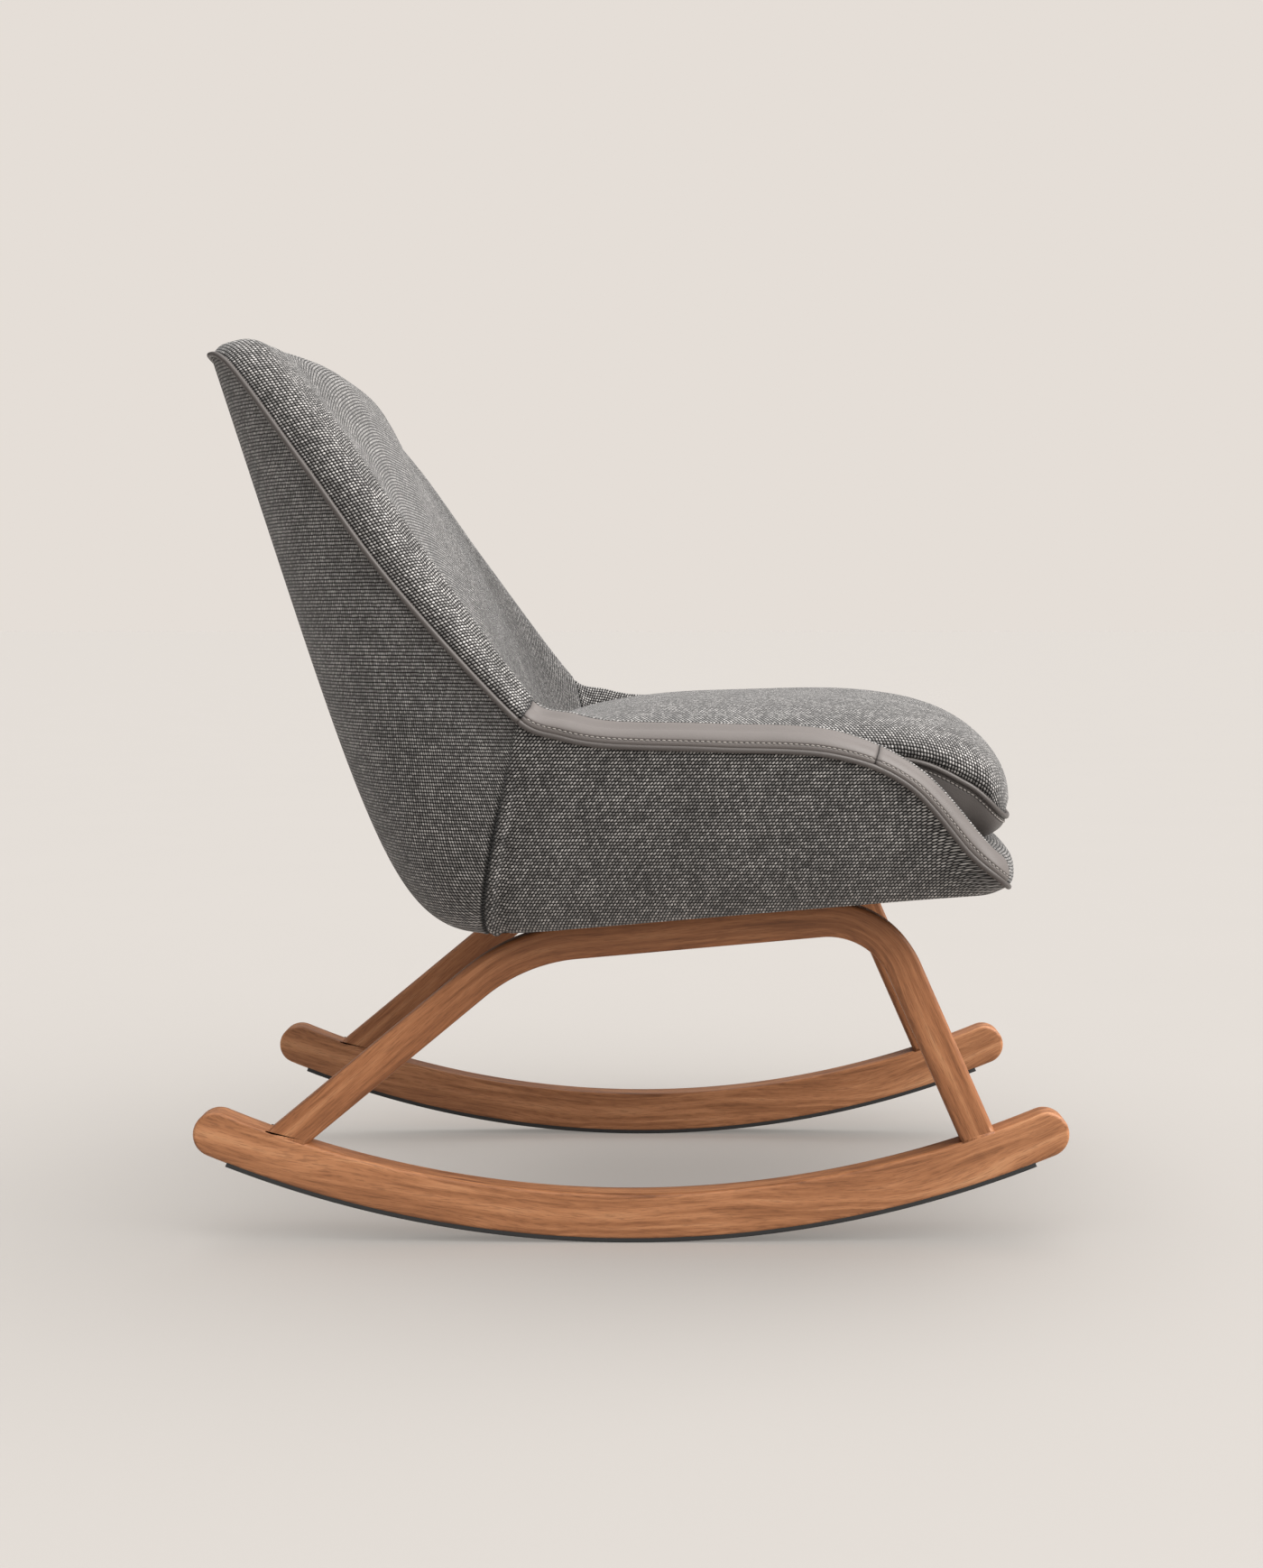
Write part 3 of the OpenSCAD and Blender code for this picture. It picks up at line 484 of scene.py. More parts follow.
def plain_cloth(name, base, pitch=700.0):
    """Plain-woven cloth or twisted thread: two crossed waves."""
    m = Nodes(name)
    co = object_coords(m)
    a = m.node("ShaderNodeTexWave", {"Vector": co, "Scale": pitch, "Distortion": 1.5}, bands_direction="X")
    b = m.node("ShaderNodeTexWave", {"Vector": co, "Scale": pitch, "Distortion": 1.5}, bands_direction="Y")
    f = m.math("MULTIPLY", a, b)
    color = m.mix(f, tuple(c * 0.6 for c in base), tuple(min(1, c * 1.3) for c in base))
    return m.finish(Base_Color=color, Roughness=0.9, Normal=m.bump(f, 0.15 * MM, 0.6), Sheen_Weight=0.2)


def hard(name, base, rough, metal=0.0, scale=400.0, depth=0.05):
    """A plain finish, slightly uneven in colour and gloss."""
    m = Nodes(name)
    co = object_coords(m)
    f = m.noise(co, scale, 3.0, 0.6)
    color = m.mix(f, tuple(c * 0.85 for c in base), tuple(min(1, c * 1.12) for c in base))
    gloss = m.range(f, 0.3, 0.7, rough - 0.06, rough + 0.06)
    return m.finish(Base_Color=color, Roughness=gloss, Metallic=metal, Normal=m.bump(f, depth * MM, 0.5))


TWEED = tweed("tweed", (0.16, 0.152, 0.147), (0.36, 0.346, 0.336), (0.74, 0.712, 0.69))
LEATHER = leather("taupe_leather", (0.135, 0.119, 0.1115))
PIPING = leather("piping_leather", (0.088, 0.077, 0.072))
THREAD = plain_cloth("thread", (0.46, 0.42, 0.39), 2500.0)
# painted shade: the frame gets a darker copy of the same walnut as the rockers, to take the front lamp's extra
# light off the legs
WOOD_FRAME = walnut("frame_wood", (0.84, 0.80, 0.76))
WOOD_ROCKER = walnut("rocker_wood", (0.98, 1.0, 1.02), 0.05)
RUBBER = hard("strip_rubber", (0.022, 0.022, 0.022), 0.7)
STEEL = hard("zinc_steel", (0.62, 0.63, 0.65), 0.36, 1.0, 900.0, 0.02)
BLACK_CLOTH = plain_cloth("black_cloth", (0.030, 0.030, 0.031))
ZIP = hard("zip_nylon", (0.03, 0.03, 0.03), 0.5)

# ------------------------------------------------------------------ upholstered shell
SEAM_DEPTH, SEAM_HALF = 2.6, 3.0      # how far the side seam is drawn in, and over what width on each side
SEAM_PAINTED_SHADE = 0.97                      # painted shade in the side seam, from 0 to 1
STITCH_RISE = 6.6                     # from the bead to the line of stitches on the arm band
PANEL_SLOPE = 1.06                    # cloth length for a millimetre of height on the outer panels


def roll_under(dist, depth=1.8, width=5.0):
    """How far a cover dips at a distance from its seam."""
    return depth * np.clip(1 - dist / width, 0, 1)**2


def edge_dip(g, ends, depth=1.8, width=5.0):
    """The dip of a panel at its seams. ends is four flags: first and last station, first and last row."""
    du, dv = run_length(g, 0), run_length(g, 1)
    far_u, far_v = du[-1:] - du, dv[:, -1:] - dv
    d = np.zeros(g.shape[:2])
    for flag, dist in zip(ends, (du, far_u, dv, far_v)):
        if flag:
            d = np.maximum(d, roll_under(dist, depth, width))
    return d


def edge_painted_shade(g, ends, width=2.6, depth=0.75):
    """How much shade is painted on the cover beside its seams, from 0 to depth."""
    return edge_dip(g, ends, depth, width)


def upright_coords(g, from_u, painted_shade):
    """Cloth coordinates in millimetres for a panel that stands up: level distance from one station, height, and
    how much shade is painted on the cloth in its creases and beside its seams, from 0 to 1. The weave stays
    square."""
    level = np.linalg.norm(np.diff(g[..., :2], axis=0), axis=-1)
    u = np.concatenate([np.zeros((1, g.shape[1])), np.cumsum(level, axis=0)])
    return np.stack([u - u[from_u], PANEL_SLOPE * g[..., 2], np.broadcast_to(painted_shade, u.shape)], -1)


def rolled_coords(g, painted_shade):
    """The same for a panel that rolls over the rim: the weave runs with the rim and across it."""
    du, dv = run_length(g, 0)[:, -1:], run_length(g, 1)
    along = np.broadcast_to(du - du[len(du) // 2], dv.shape)
    return np.stack([along, dv[:, -1:] - dv, np.broadcast_to(painted_shade, dv.shape)], -1)


def seam_fade(v):
    """The side seam is drawn in at the foot and closes below the rim."""
    return np.clip((0.90 - v) / 0.22, 0, 1)[None, :]


def outer_panel(name, a, b, n, nodes, seams, from_u=None, fold=False):
    """A panel of the outer cover. seams says whether it has a side seam at its first and at its last station.
    The weave is laid from the line from_u, or from the middle. fold adds a soft pulled fold beside the seam,
    gone before the rim."""
    s, v = crowded(a, b, n), crowded(0, 1, 90, 0.01, 0.012)
    g = skin(s, v)
    inward = surface_normals(skin, s, v, 0.0, 1.0)
    dip = edge_dip(g, (True, True, False, True))
    # painted shade: darker cloth along the top edge under the rim
    painted_shade = edge_painted_shade(g, (False, False, False, True))
    du, fade = run_length(g, 0), seam_fade(v)
    for seam, dist in zip(seams, (du, du[-1:] - du)):
        if seam:
            dip = np.maximum(dip, SEAM_DEPTH * np.clip(1 - dist / SEAM_HALF, 0, 1)**1.5 * fade)
            if fold:
                dip = dip - 2.2 * np.exp(-((dist - 7.0) / 3.2)**2) * fade
                dip = dip + 1.5 * np.exp(-((dist - 14) / 4.5)**2) * fade
            # painted shade in the side seam, fading out below the rim
            painted_shade = np.maximum(painted_shade, SEAM_PAINTED_SHADE * np.clip(1.6 - dist / 2.2, 0, 1) * fade)
    c = upright_coords(g, len(g) // 2 if from_u is None else from_u, painted_shade)
    return sheet_piece(name, g + inward * dip[..., None], inward, TWEED, nodes, c)


def inner_panel(name, a, b, n, w0, w1, m, mat, slot_name, nodes, ends, sewn=False):
    """A panel of the inner wall from row w0 to row w1. sewn is for the leather band, with stitches above its
    bead."""
    s, w = crowded(a, b, n), crowded(w0, w1, m)
    g = wall(s, w)
    outward = -surface_normals(wall, s, w, 0.0, 5.0)
    dip = edge_dip(g, ends)
    # painted shade: darker cloth beside the panel's seams and along the rim
    painted_shade = edge_painted_shade(g, ends)
    if sewn:      # the stitches draw the leather down along a line above the bead, and the lip below stands up
        dv = run_length(g, 1)
        rise = dv[:, -1:] - dv
        dip = dip - 0.3 * np.sin(np.pi * np.clip(dv / dv[:, -1:], 0, 1))
        dip = dip + 0.7 * np.exp(-((rise - STITCH_RISE) / 0.9)**2) - 0.5 * np.exp(-((rise - 3.4) / 1.8)**2)
        # painted shade along the line of stitches and right beside the bead
        painted_shade = np.maximum(painted_shade, 0.45 * np.exp(-((rise - STITCH_RISE) / 0.7)**2))
        painted_shade = np.maximum(painted_shade, 0.5 * np.clip(1 - rise / 1.2, 0, 1))
    c = rolled_coords(g, painted_shade)
    return sheet_piece(name, g - outward * dip[..., None], -outward, mat, nodes, c)


def station_span(side, a, b):
    """The stations from a to b on the left, side 1, or their mirror image on the right."""
    return (a, b) if side > 0 else (-b, -a)


def shell_covers():
    outer_panel("back_outer", -BACK_END, BACK_END, 200, ["outer_cover_back"], (True, True))
    outer_panel("side_outer_left", BACK_END, FRONT_MIDDLE, 150, ["outer_cover_left"], (True, False), 0, True)
    outer_panel("side_outer_right", TURNS - FRONT_MIDDLE, TURNS - BACK_END, 150, ["outer_cover_right"],
                (False, True), -1, True)
    every = (True, True, False, True)
    padded = [inner_panel("back_inner", -BACK_END, BACK_END, 220, 5, 0, 120, TWEED, "tweed",
                          ["inner_cover_back", "back_foam"], every)]
    padded.append(inner_panel("front_roll", BAND_END, TURNS - BAND_END, 90, 5, 0, 60, TWEED, "tweed",
                              ["front_roll_cover", "front_roll_foam"], every))
    for side, tag in ((1, "left"), (-1, "right")):
        arm = station_span(side, BACK_END, BAND_END)
        padded.append(inner_panel("arm_inner_" + tag, *arm, 110, 5, CREST_SEAM, 50, TWEED, "tweed",
                                  ["inner_cover_" + tag, "arm_foam_" + tag], every))
        for part, p, q, n in (("rear", BACK_END, BAND_SEAM, 90), ("front", BAND_SEAM, BAND_END, 80)):
            inner_panel(f"arm_band_{part}_{tag}", *station_span(side, p, q), n, CREST_SEAM, 0, 84, LEATHER,
                        "leather", [f"arm_band_{part}_{tag}"], (True, True, True, False), sewn=True)


def rim_path(a, b, n, out):
    """The rim line, moved out by some millimetres so that its cord stands proud."""
    s = np.linspace(a, b, n)
    p = ring_at(NET, s)[:, 0]
    o = -normals(skin(s, [0.97, 0.985, 1.0]))[:, -1]
    w = normals(wall(s, [0.2, 0.1, 0.0]))[:, -1]
    d = o + w
    return p + out * d / np.linalg.norm(d, axis=1, keepdims=True)


def line_at(dist, g, reach):
    """The line on a grid at one distance, reach, along its rows."""
    return np.array([[np.interp(reach, dist[i], g[i, :, k]) for k in range(3)] for i in range(len(g))])


def band_line(a, b, n, lift):
    """The line of stitches on the arm band."""
    g = wall(np.linspace(a, b, n), np.linspace(0, 2.4, 50))
    dv = run_length(g, 1)
    return line_at(dv, g, STITCH_RISE) + lift * line_at(dv, -normals(g), STITCH_RISE)


def shell_trim():
    """The piping round the back, the bead along each arm and the stitches above it."""
    cord_piece("back_cord", rim_path(-BACK_END, BACK_END, 260, 0.9), CHAIR, ["back_piping"])
    for side, tag in ((1, "left"), (-1, "right")):
        arm = station_span(side, BACK_END, BEAD_END)
        cord_piece("arm_cord_" + tag, rim_path(*arm, 160, 0.1), CHAIR, ["arm_bead_" + tag])
        for part, p, q in (("rear", BACK_END + 0.06, BAND_SEAM - 0.04),
                           ("front", BAND_SEAM + 0.04, BAND_END - 0.05)):
            line = band_line(*station_span(side, p, q), 140, -0.1)
            stitch_piece(f"band_stitch_{part}_{tag}", line, CHAIR)


# ------------------------------------------------------------------ loose cushion
CUSHION_LINES = 360                      # lines of the mesh round the cushion
FRONT_CORNER, REAR_CORNER = 8.35, 3.2    # marks of the boxing's upright seams
CUSHION_STITCH = 5.5                     # from the welt down to its line of stitches


def cushion_polar(n, radii):
    """The cushion's crowned top: n lines from the welt to the crown, at the given fractions of the radius."""
    s = np.linspace(0, len(ROWS), n, endpoint=False)
    w = ring_at(ROWS, s)[:, 0]
    d = w[:, :2] - np.array(CUSHION_C)
    q = d[:, 0] / np.linalg.norm(d, axis=1)
    a = np.where(q > 0, 3.2 + 1.5 * q, 3.2 + 1.2 * q)[:, None]
    r = np.asarray(radii)[None, :]
    h = np.sqrt(np.maximum(0, 1 - r**a))
    k = r * (1 + 0.11 * h * (1 - h))
    xy = np.array(CUSHION_C) + d[:, None] * k[..., None]
    z = w[:, 2:3] + (CROWN_H - w[:, 2:3]) * h
    return s, np.concatenate([xy, z[..., None]], -1)


def under_polar(n, v_steps, r_steps):
    """The cushion's boxing and underside: n lines down from the welt and in to the middle."""
    s = np.linspace(0, len(ROWS), n, endpoint=False)
    r = ring_at(ROWS, s)
    w, b = r[:, 0], r[:, 1]
    mid = w + (b - w) * 0.04
    mid[:, 2] = w[:, 2] * 0.25 + b[:, 2] * 0.75
    v = np.asarray(v_steps)[None, :, None]
    side = w[:, None] * (1 - v)**2 + mid[:, None] * 2 * v * (1 - v) + b[:, None] * v**2
    k = np.asarray(r_steps)[None, :, None]
    c = np.array([*CUSHION_C, 0.0])
    low = c + (b - c)[:, None] * k
    low[..., 2] = seat_z(low[..., 0]) + DECK_H + DECK_GAP
    return s, np.concatenate([side, low], 1)


def polar_coords(g, centre):
    """Cloth coordinates unrolled from the middle, so that the weave keeps its scale over the crown."""
    dv = run_length(g[:, ::-1], 1)[:, ::-1]
    d = g[:, 0, :2] - np.array(centre)
    d /= np.linalg.norm(d, axis=1, keepdims=True)
    xy = d[:, None] * dv[..., None]
    return np.concatenate([xy, np.zeros(dv.shape + (1,))], -1)


def bowl_piece(name, g, inward, mat, nodes, coords):
    """A thin closed bowl of the cushion: its lines run from the edge to the pole, which a small fan closes."""
    n, m = g.shape[:2]
    k = n * m
    inside = g + inward * COVER_T
    pole = [g[:, -1].mean(0), inside[:, -1].mean(0)]
    verts = np.concatenate([g.reshape(-1, 3), inside.reshape(-1, 3), pole])
    faces = [tuple(q) for q in grid_faces(n, m, True)] + [tuple(q) for q in grid_faces(n, m, True, k, True)]
    for i in range(n):
        j = (i + 1) % n
        faces += [(i * m, j * m, k + j * m, k + i * m), (i * m + m - 1, 2 * k, j * m + m - 1),
                  (k + j * m + m - 1, 2 * k + 1, k + i * m + m - 1)]
    c = np.concatenate([coords.reshape(-1, 3)] * 2 + [[coords[:, -1].mean(0)] * 2])
    ob = make_object(name, verts, faces, mat, CUSHION, c, nodes)
    fix_normals(ob)
    return ob


def cushion_top():
    """The tweed top: its crown, slow swells of the stuffing, and short puckers where it is sewn to the welt."""
    radii = 1 - np.unique(np.concatenate([np.linspace(0, 0.10, 22), np.linspace(0.10, 0.99, 70)]))
    s, g = cushion_polar(CUSHION_LINES, radii)
    inward = normals(g, True)
    dist = run_length(g, 1)
    ang = 2 * np.pi * s / len(ROWS)
    pucker = np.sin(ang * 58 + 1.3 * np.sin(ang * 9)) * 0.35 + np.sin(ang * 31 + 2.0) * 0.25
    swell = 0.9 * np.sin(g[..., 0] / 61.0 + 0.6) * np.sin(g[..., 1] / 83.0 + 0.4)
    move = roll_under(dist, 1.5, 5.0) + pucker[:, None] * np.exp(-((dist - 9) / 9)**2)
    move = move + swell * np.clip(dist / 60, 0, 1)
    top = bowl_piece("cushion_top", g + inward * move[..., None], inward, TWEED,
                     ["cushion_top_cover", "cushion_foam"], polar_coords(g, CUSHION_C))


def cushion_boxing():
    """The leather boxing and underside: drawn in under the welt, with an upright seam at each corner, and a row
    of stitches below the welt."""
    v = np.unique(np.concatenate([np.linspace(0, 0.12, 10), np.linspace(0.12, 1, 26)]))
    s, g = under_polar(CUSHION_LINES, v, np.linspace(0.99, 0.02, 24))
    outward = normals(g, True)
    dist = run_length(g, 1)
    dip = roll_under(dist, 1.2, 4.0) + 0.6 * np.exp(-((dist - CUSHION_STITCH) / 1.1)**2)
    for at in (FRONT_CORNER, len(ROWS) - FRONT_CORNER, REAR_CORNER, len(ROWS) - REAR_CORNER):
        away = np.abs(s - at)[:, None] * 55.0
        dip = dip + 1.3 * np.exp(-(away / 1.8)**2) * np.clip((95 - dist) / 20, 0, 1)
    puff = 1.4 * np.sin(np.pi * np.clip(dist / 80, 0, 1))
    low = bowl_piece("cushion_boxing", g + outward * (puff - dip)[..., None], -outward, PIPING,
                     ["cushion_lower_cover"], polar_coords(g, CUSHION_C))
    line = line_at(dist, g + outward * 0.5, CUSHION_STITCH)
    return np.concatenate([line, line[:1]])


def seat_cushion():
    cushion_top()
    line = cushion_boxing()
    welt = ring_at(ROWS, np.linspace(0, len(ROWS), 420, endpoint=False))[:, 0]
    d = welt - np.array([*CUSHION_C, 0])
    d[:, 2] = 0
    welt = welt + 0.8 * d / np.linalg.norm(d, axis=1, keepdims=True)
    cord_piece("cushion_welt", welt, CUSHION, ["cushion_piping"], closed=True)
    stitch_piece("cushion_stitch", line, CUSHION, 4.2, 3.3, 0.7)


# ------------------------------------------------------------------ timber base
ROLL_R, STRIP_T, DEPTH, THICK, PITCH, LENGTH = 1000.0, 3.0, 40.0, 27.0, 410.0, 780.0
WOOD_R, TOP_R = ROLL_R - STRIP_T, ROLL_R - STRIP_T - DEPTH
MID_R = (WOOD_R + TOP_R) / 2
TIP = math.asin((LENGTH / 2 - DEPTH / 2) / MID_R)
FRAME_W = 31.0
TIP_GAP = 0.3          # keeps the two edge lines apart where they meet at a rocker's end
STRIP_SHORT = 1.1      # how far the strip ends short of the rocker's round end, in degrees


def slab_piece(name, low, high, y, thick, fillet, mat, slot_name, nodes):
    """A board in a side plane between two edge lines of equal count, with rounded arrises and its own
    coordinates for the grain: along the middle line, across it, and through the board."""
    low, high = np.asarray(low, float), np.asarray(high, float)
    n = len(low)
    loop = np.concatenate([low, high[::-1]])
    t = np.roll(loop, -1, 0) - np.roll(loop, 1, 0)
    t /= np.maximum(np.linalg.norm(t, axis=1, keepdims=True), 1e-9)
    inward = np.stack([-t[:, 1], t[:, 0]], 1)
    mid = (low + high) / 2
    along = np.concatenate([[0], np.cumsum(np.linalg.norm(np.diff(mid, axis=0), axis=1))])
    half_w = np.linalg.norm(high - low, axis=1) / 2
    along2, across2 = np.concatenate([along, along[::-1]]), np.concatenate([-half_w, half_w[::-1]])
    h = thick / 2
    steps = [(fillet * (1 - math.sin(a)), h - fillet * (1 - math.cos(a)))
             for a in np.linspace(0, math.pi / 2, 6)]
    rings = steps + [(i, -yy) for i, yy in steps[::-1]]
    verts, coords = [], []
    k = len(loop)
    for inset, yy in rings:
        p = loop + inward * inset
        verts += [(px, y + yy, pz) for px, pz in p]
        c = across2 * (1 - inset / 30)
        coords += [(a, b, yy) for a, b in zip(along2, c)]
    faces = []
    for r in range(len(rings) - 1):
        for i in range(k):
            j = (i + 1) % k
            faces.append((r * k + i, r * k + j, (r + 1) * k + j, (r + 1) * k + i))
    last = (len(rings) - 1) * k
    for i in range(n - 1):
        p, q = 2 * n - 1 - i, 2 * n - 2 - i
        faces.append((i, p, q, i + 1))
        faces.append((last + i, last + i + 1, last + q, last + p))
    ob = make_object(name, verts, faces, mat, CHAIR, coords, nodes)
    fix_normals(ob)
    return ob


def arc(c, r, a, b, n):
    """n points of an arc in the side plane, from a to b degrees."""
    t = np.radians(np.linspace(a, b, n))
    return np.stack([c[0] + r * np.cos(t), c[1] + r * np.sin(t)], 1)


def rocker(tag, y):
    """A curved rocker with round ends, and the strip under it."""
    tip = math.degrees(TIP)
    c = (0.0, ROLL_R)
    end = (MID_R * math.sin(TIP), ROLL_R - MID_R * math.cos(TIP))
    beg = (-end[0], end[1])
    h = DEPTH / 2
    low = np.concatenate([arc(beg, h, 180 - tip, 270 - tip, 14)[:-1], arc(c, WOOD_R, -90 - tip, -90 + tip, 90),
                          arc(end, h, -90 + tip, tip, 14)[1:]])
    high = np.concatenate([arc(beg, h, 180 - tip, 90 - tip, 14)[:-1], arc(c, TOP_R, -90 - tip, -90 + tip, 90),
                           arc(end, h, 90 + tip, tip, 14)[1:]])
    low[0] += (0, -TIP_GAP)
    high[-1] += (0, TIP_GAP)
    slab_piece("rocker_wood_" + tag, low, high, y, THICK, 3.2, WOOD_ROCKER, "walnut", ["rocker_" + tag])
    strip = tip - STRIP_SHORT
    low, high = (arc(c, r, -90 - strip, -90 + strip, 90) for r in (ROLL_R, WOOD_R - 1.5))
    slab_piece("glide_" + tag, low, high, y, THICK - 1.6, 0.8, RUBBER, "rubber_strip", ["glide_strip_" + tag])


RAIL_Z0 = SEAT_Z0 - 0.4 - FRAME_W / 2 / math.cos(SEAT_ANGLE)
REAR_DIR, FRONT_DIR = np.array([0.771, 0.637]), np.array([0.4016, -0.9157])
REAR_FOOT, FRONT_MID = np.array([-278.4, 115.4]), np.array([240.8, 248.4])
REAR_R, FRONT_R = 165.0, 74.5


def left_of(d):
    """A direction turned a quarter turn to its left."""
    return np.array([-d[1], d[0]])


def on_rail(p, d):
    """Where a line from p along d meets the middle line of the seat rail."""
    return p + d * (RAIL_Z0 + SEAT_RISE * p[0] - p[1]) / (d[1] - SEAT_RISE * d[0])


def meet_top(p, d):
    """Where a line from p along d meets the top of the rocker, 4 mm inside it, so that the joint closes."""
    c = p - np.array([0, ROLL_R])
    r = TOP_R + 4
    a, b, k = d @ d, 2 * (c @ d), c @ c - r * r
    return p + d * (-b + math.sqrt(b * b - 4 * a * k)) / (2 * a)


def on_circle(c, r, degrees):
    a = math.radians(degrees)
    return c + r * np.array([math.cos(a), math.sin(a)])


def leg_frame(tag, y):
    """Rear leg, seat rail and front leg, bent from one board."""
    rail = np.array([math.cos(SEAT_ANGLE), math.sin(SEAT_ANGLE)])
    t1 = math.degrees(math.acos(REAR_DIR @ rail / np.linalg.norm(REAR_DIR)))
    t2 = math.degrees(math.acos(FRONT_DIR @ rail / np.linalg.norm(FRONT_DIR)))
    reach1, reach2 = REAR_R * math.tan(math.radians(t1 / 2)), FRONT_R * math.tan(math.radians(t2 / 2))
    c1 = on_rail(REAR_FOOT, REAR_DIR) + rail * reach1 - left_of(rail) * REAR_R
    c2 = on_rail(FRONT_MID, FRONT_DIR) - rail * reach2 - left_of(rail) * FRONT_R
    a0 = 90 + math.degrees(SEAT_ANGLE)
    sides = []
    for off in (-FRAME_W / 2, FRAME_W / 2):
        rear_top, front_top = on_circle(c1, REAR_R + off, a0 + t1), on_circle(c2, FRONT_R + off, a0 - t2)
        rear_foot, front_foot = meet_top(rear_top, -REAR_DIR), meet_top(front_top, FRONT_DIR)
        leg1 = rear_foot + (rear_top - rear_foot) * np.linspace(0, 1, 40)[:, None]
        leg2 = front_top + (front_foot - front_top) * np.linspace(0, 1, 34)[:, None]
        bend1, bend2 = arc(c1, REAR_R + off, a0 + t1, a0, 30), arc(c2, FRONT_R + off, a0, a0 - t2, 34)
        top = bend1[-1] + (bend2[0] - bend1[-1]) * np.linspace(0, 1, 40)[:, None]
        sides.append(np.concatenate([leg1, bend1[1:], top[1:], bend2[1:], leg2[1:]]))
    slab_piece("frame_wood_" + tag, *sides, y, THICK - 0.5, 4.0, WOOD_FRAME, "walnut", ["leg_frame_" + tag])


def carried_over():
    """Hidden and small CAD pieces keep their CAD shape and get a finish of their own."""
    finish = {"cross_rail_front": WOOD_FRAME, "cross_rail_rear": WOOD_FRAME, "shell_bolts": STEEL,
              "bolt_washers": STEEL, "tee_nuts": STEEL, "dust_cover": BLACK_CLOTH, "deck_cover": BLACK_CLOTH,
              "cushion_zip": ZIP, "structural_shell": hard("moulded_ply", (0.45, 0.30, 0.17), 0.6),
              "foot_dowels": hard("dowel_wood", (0.62, 0.44, 0.26), 0.6),
              "rail_dowels": hard("dowel_wood_b", (0.62, 0.44, 0.26), 0.6)}
    foam = hard("padding_foam", (0.72, 0.66, 0.45), 0.9, 0.0, 900.0, 0.3)
    for name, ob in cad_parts.items():
        mat = finish.get(name, foam if "foam" in name else None)
        if mat:
            ob.data.materials.clear()
            ob.data.materials.append(mat)


# ------------------------------------------------------------------ stage, light and camera
FLOOR_A, FLOOR_B, FLOOR_HALF = (0.462, 0.439, 0.416), (0.470, 0.446, 0.423), 120.0
SKY_LOW, SKY_HIGH, SKY_FROM = (0.05, 0.0495, 0.049), (1.36, 1.35, 1.34), (0.25, -0.10, 1.0)
BACKDROP = (0.783, 0.730, 0.680)
# Each lamp: its power, the direction it shines from, and the width of its disc in degrees. The key lights
# everything, the front lamp only the chair, and the floor lamp only the floor, so that its shadow stays soft.
KEY = 0.80, (0.0, 0.10, 1.0), 60
FRONT = 4.5, (0.8, -0.32, 0.75), 50
FLOOR_FILL = 1.45, (0.0, 0.0, 1.0), 20

# The photograph's camera: level, square to the chair's side, its frame shifted to the subject
FOCAL_PX, IMAGE_W, IMAGE_H = 2399.0, 1400.0, 1738.0
EYE = (0.0525, -2.141, 0.552)
VANISH = (765.0, 689.0)
SENSOR = 36.0


def lamp(name, power, source, spread, lit=None, open_way=False):
    """A broad lamp far away towards source. lit limits it to some objects, and open_way lets nothing shade
    them."""
    light = bpy.data.lights.new(name, "SUN")
    light.energy, light.angle, light.color = power, math.radians(spread), (1.0, 0.98, 0.955)
    ob = bpy.data.objects.new(name, light)
    ob.rotation_euler = Vector(source).to_track_quat("Z", "Y").to_euler()
    bpy.context.scene.collection.objects.link(ob)
    if lit:
        group = bpy.data.collections.new(name + "_lit")
        for piece in lit:
            group.objects.link(piece)
        ob.light_linking.receiver_collection = group
    if open_way:
        ob.light_linking.blocker_collection = bpy.data.collections.new(name + "_shade")
        ob.light_linking.blocker_collection.objects.link(ob)


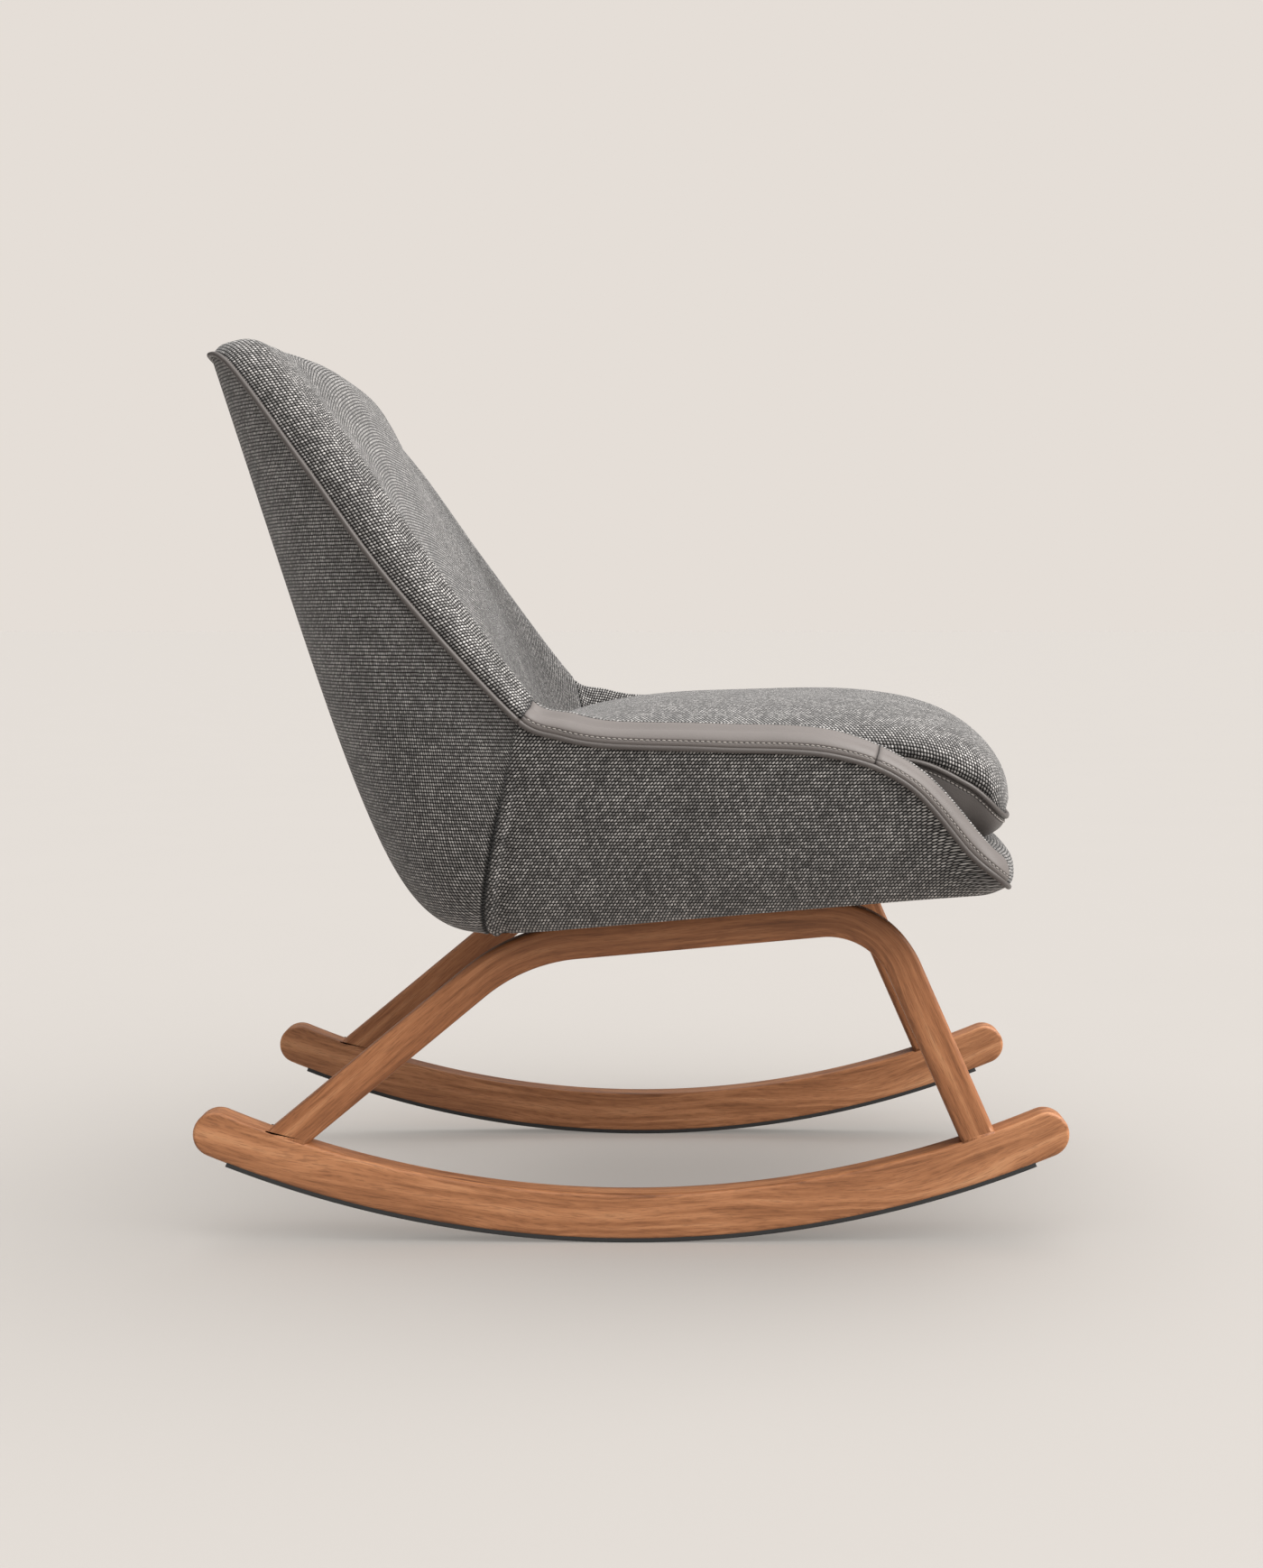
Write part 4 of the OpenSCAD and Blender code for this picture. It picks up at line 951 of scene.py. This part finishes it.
def studio_world():
    """A soft sky, brightest overhead and a little to the front. The camera sees a plain backdrop instead."""
    world = bpy.data.worlds.new("studio")
    bpy.context.scene.world = world
    world.use_nodes = True
    t = world.node_tree
    sky, seen = t.nodes["Background"], t.nodes.new("ShaderNodeBackground")
    co = t.nodes.new("ShaderNodeTexCoord")
    toward = t.nodes.new("ShaderNodeVectorMath")
    toward.operation = "DOT_PRODUCT"
    toward.inputs[1].default_value = Vector(SKY_FROM).normalized()
    ramp = t.nodes.new("ShaderNodeValToRGB")
    t.links.new(co.outputs[0], toward.inputs[0])
    t.links.new(toward.outputs["Value"], ramp.inputs[0])
    e = ramp.color_ramp.elements
    e[0].position, e[0].color = 0.08, (*SKY_LOW, 1)
    e[1].position, e[1].color = 0.85, (*SKY_HIGH, 1)
    t.links.new(ramp.outputs[0], sky.inputs[0])
    sky.inputs[1].default_value = 1.0
    seen.inputs[0].default_value = (*BACKDROP, 1)
    path, mix = t.nodes.new("ShaderNodeLightPath"), t.nodes.new("ShaderNodeMixShader")
    t.links.new(path.outputs[0], mix.inputs[0])
    t.links.new(sky.outputs[0], mix.inputs[1])
    t.links.new(seen.outputs[0], mix.inputs[2])
    t.links.new(mix.outputs[0], t.nodes["World Output"].inputs[0])


def stage():
    """The floor, the sky and the lamps. It runs after the chair's pieces are made: the front lamp names them."""
    me = bpy.data.meshes.new("floor")
    e = FLOOR_HALF
    me.from_pydata([(-e, -e, 0), (e, -e, 0), (e, e, 0), (-e, e, 0)], [], [(0, 1, 2, 3)])
    floor = bpy.data.objects.new("floor", me)
    bpy.context.scene.collection.objects.link(floor)
    m = Nodes("floor_paint")
    paint = m.mix(m.noise(object_coords(m), 3.0, 2.0), FLOOR_A, FLOOR_B)
    me.materials.append(m.finish(Base_Color=paint, Roughness=0.9, Specular_IOR_Level=0.1))
    studio_world()
    chair = [ob for ob in bpy.data.objects if ob.type == "MESH" and ob != floor]
    lamp("key", *KEY)
    lamp("front", *FRONT, chair)
    lamp("floor_fill", *FLOOR_FILL, [floor], True)


def camera():
    cam = bpy.data.cameras.new("view")
    cam.sensor_width = SENSOR
    cam.lens = FOCAL_PX * SENSOR / IMAGE_H
    cam.shift_x = (IMAGE_W / 2 - VANISH[0]) / IMAGE_H
    cam.shift_y = -(IMAGE_H / 2 - VANISH[1]) / IMAGE_H
    ob = bpy.data.objects.new("view", cam)
    ob.location = EYE
    ob.rotation_euler = (math.pi / 2, 0, 0)
    bpy.context.scene.collection.objects.link(ob)
    bpy.context.scene.camera = ob


camera()
shell_covers()
shell_trim()
seat_cushion()
for tag, side in (("left", 1), ("right", -1)):
    rocker(tag, side * PITCH / 2)
    leg_frame(tag, side * PITCH / 2)
carried_over()
stage()
bpy.context.scene.view_settings.view_transform = "Standard"
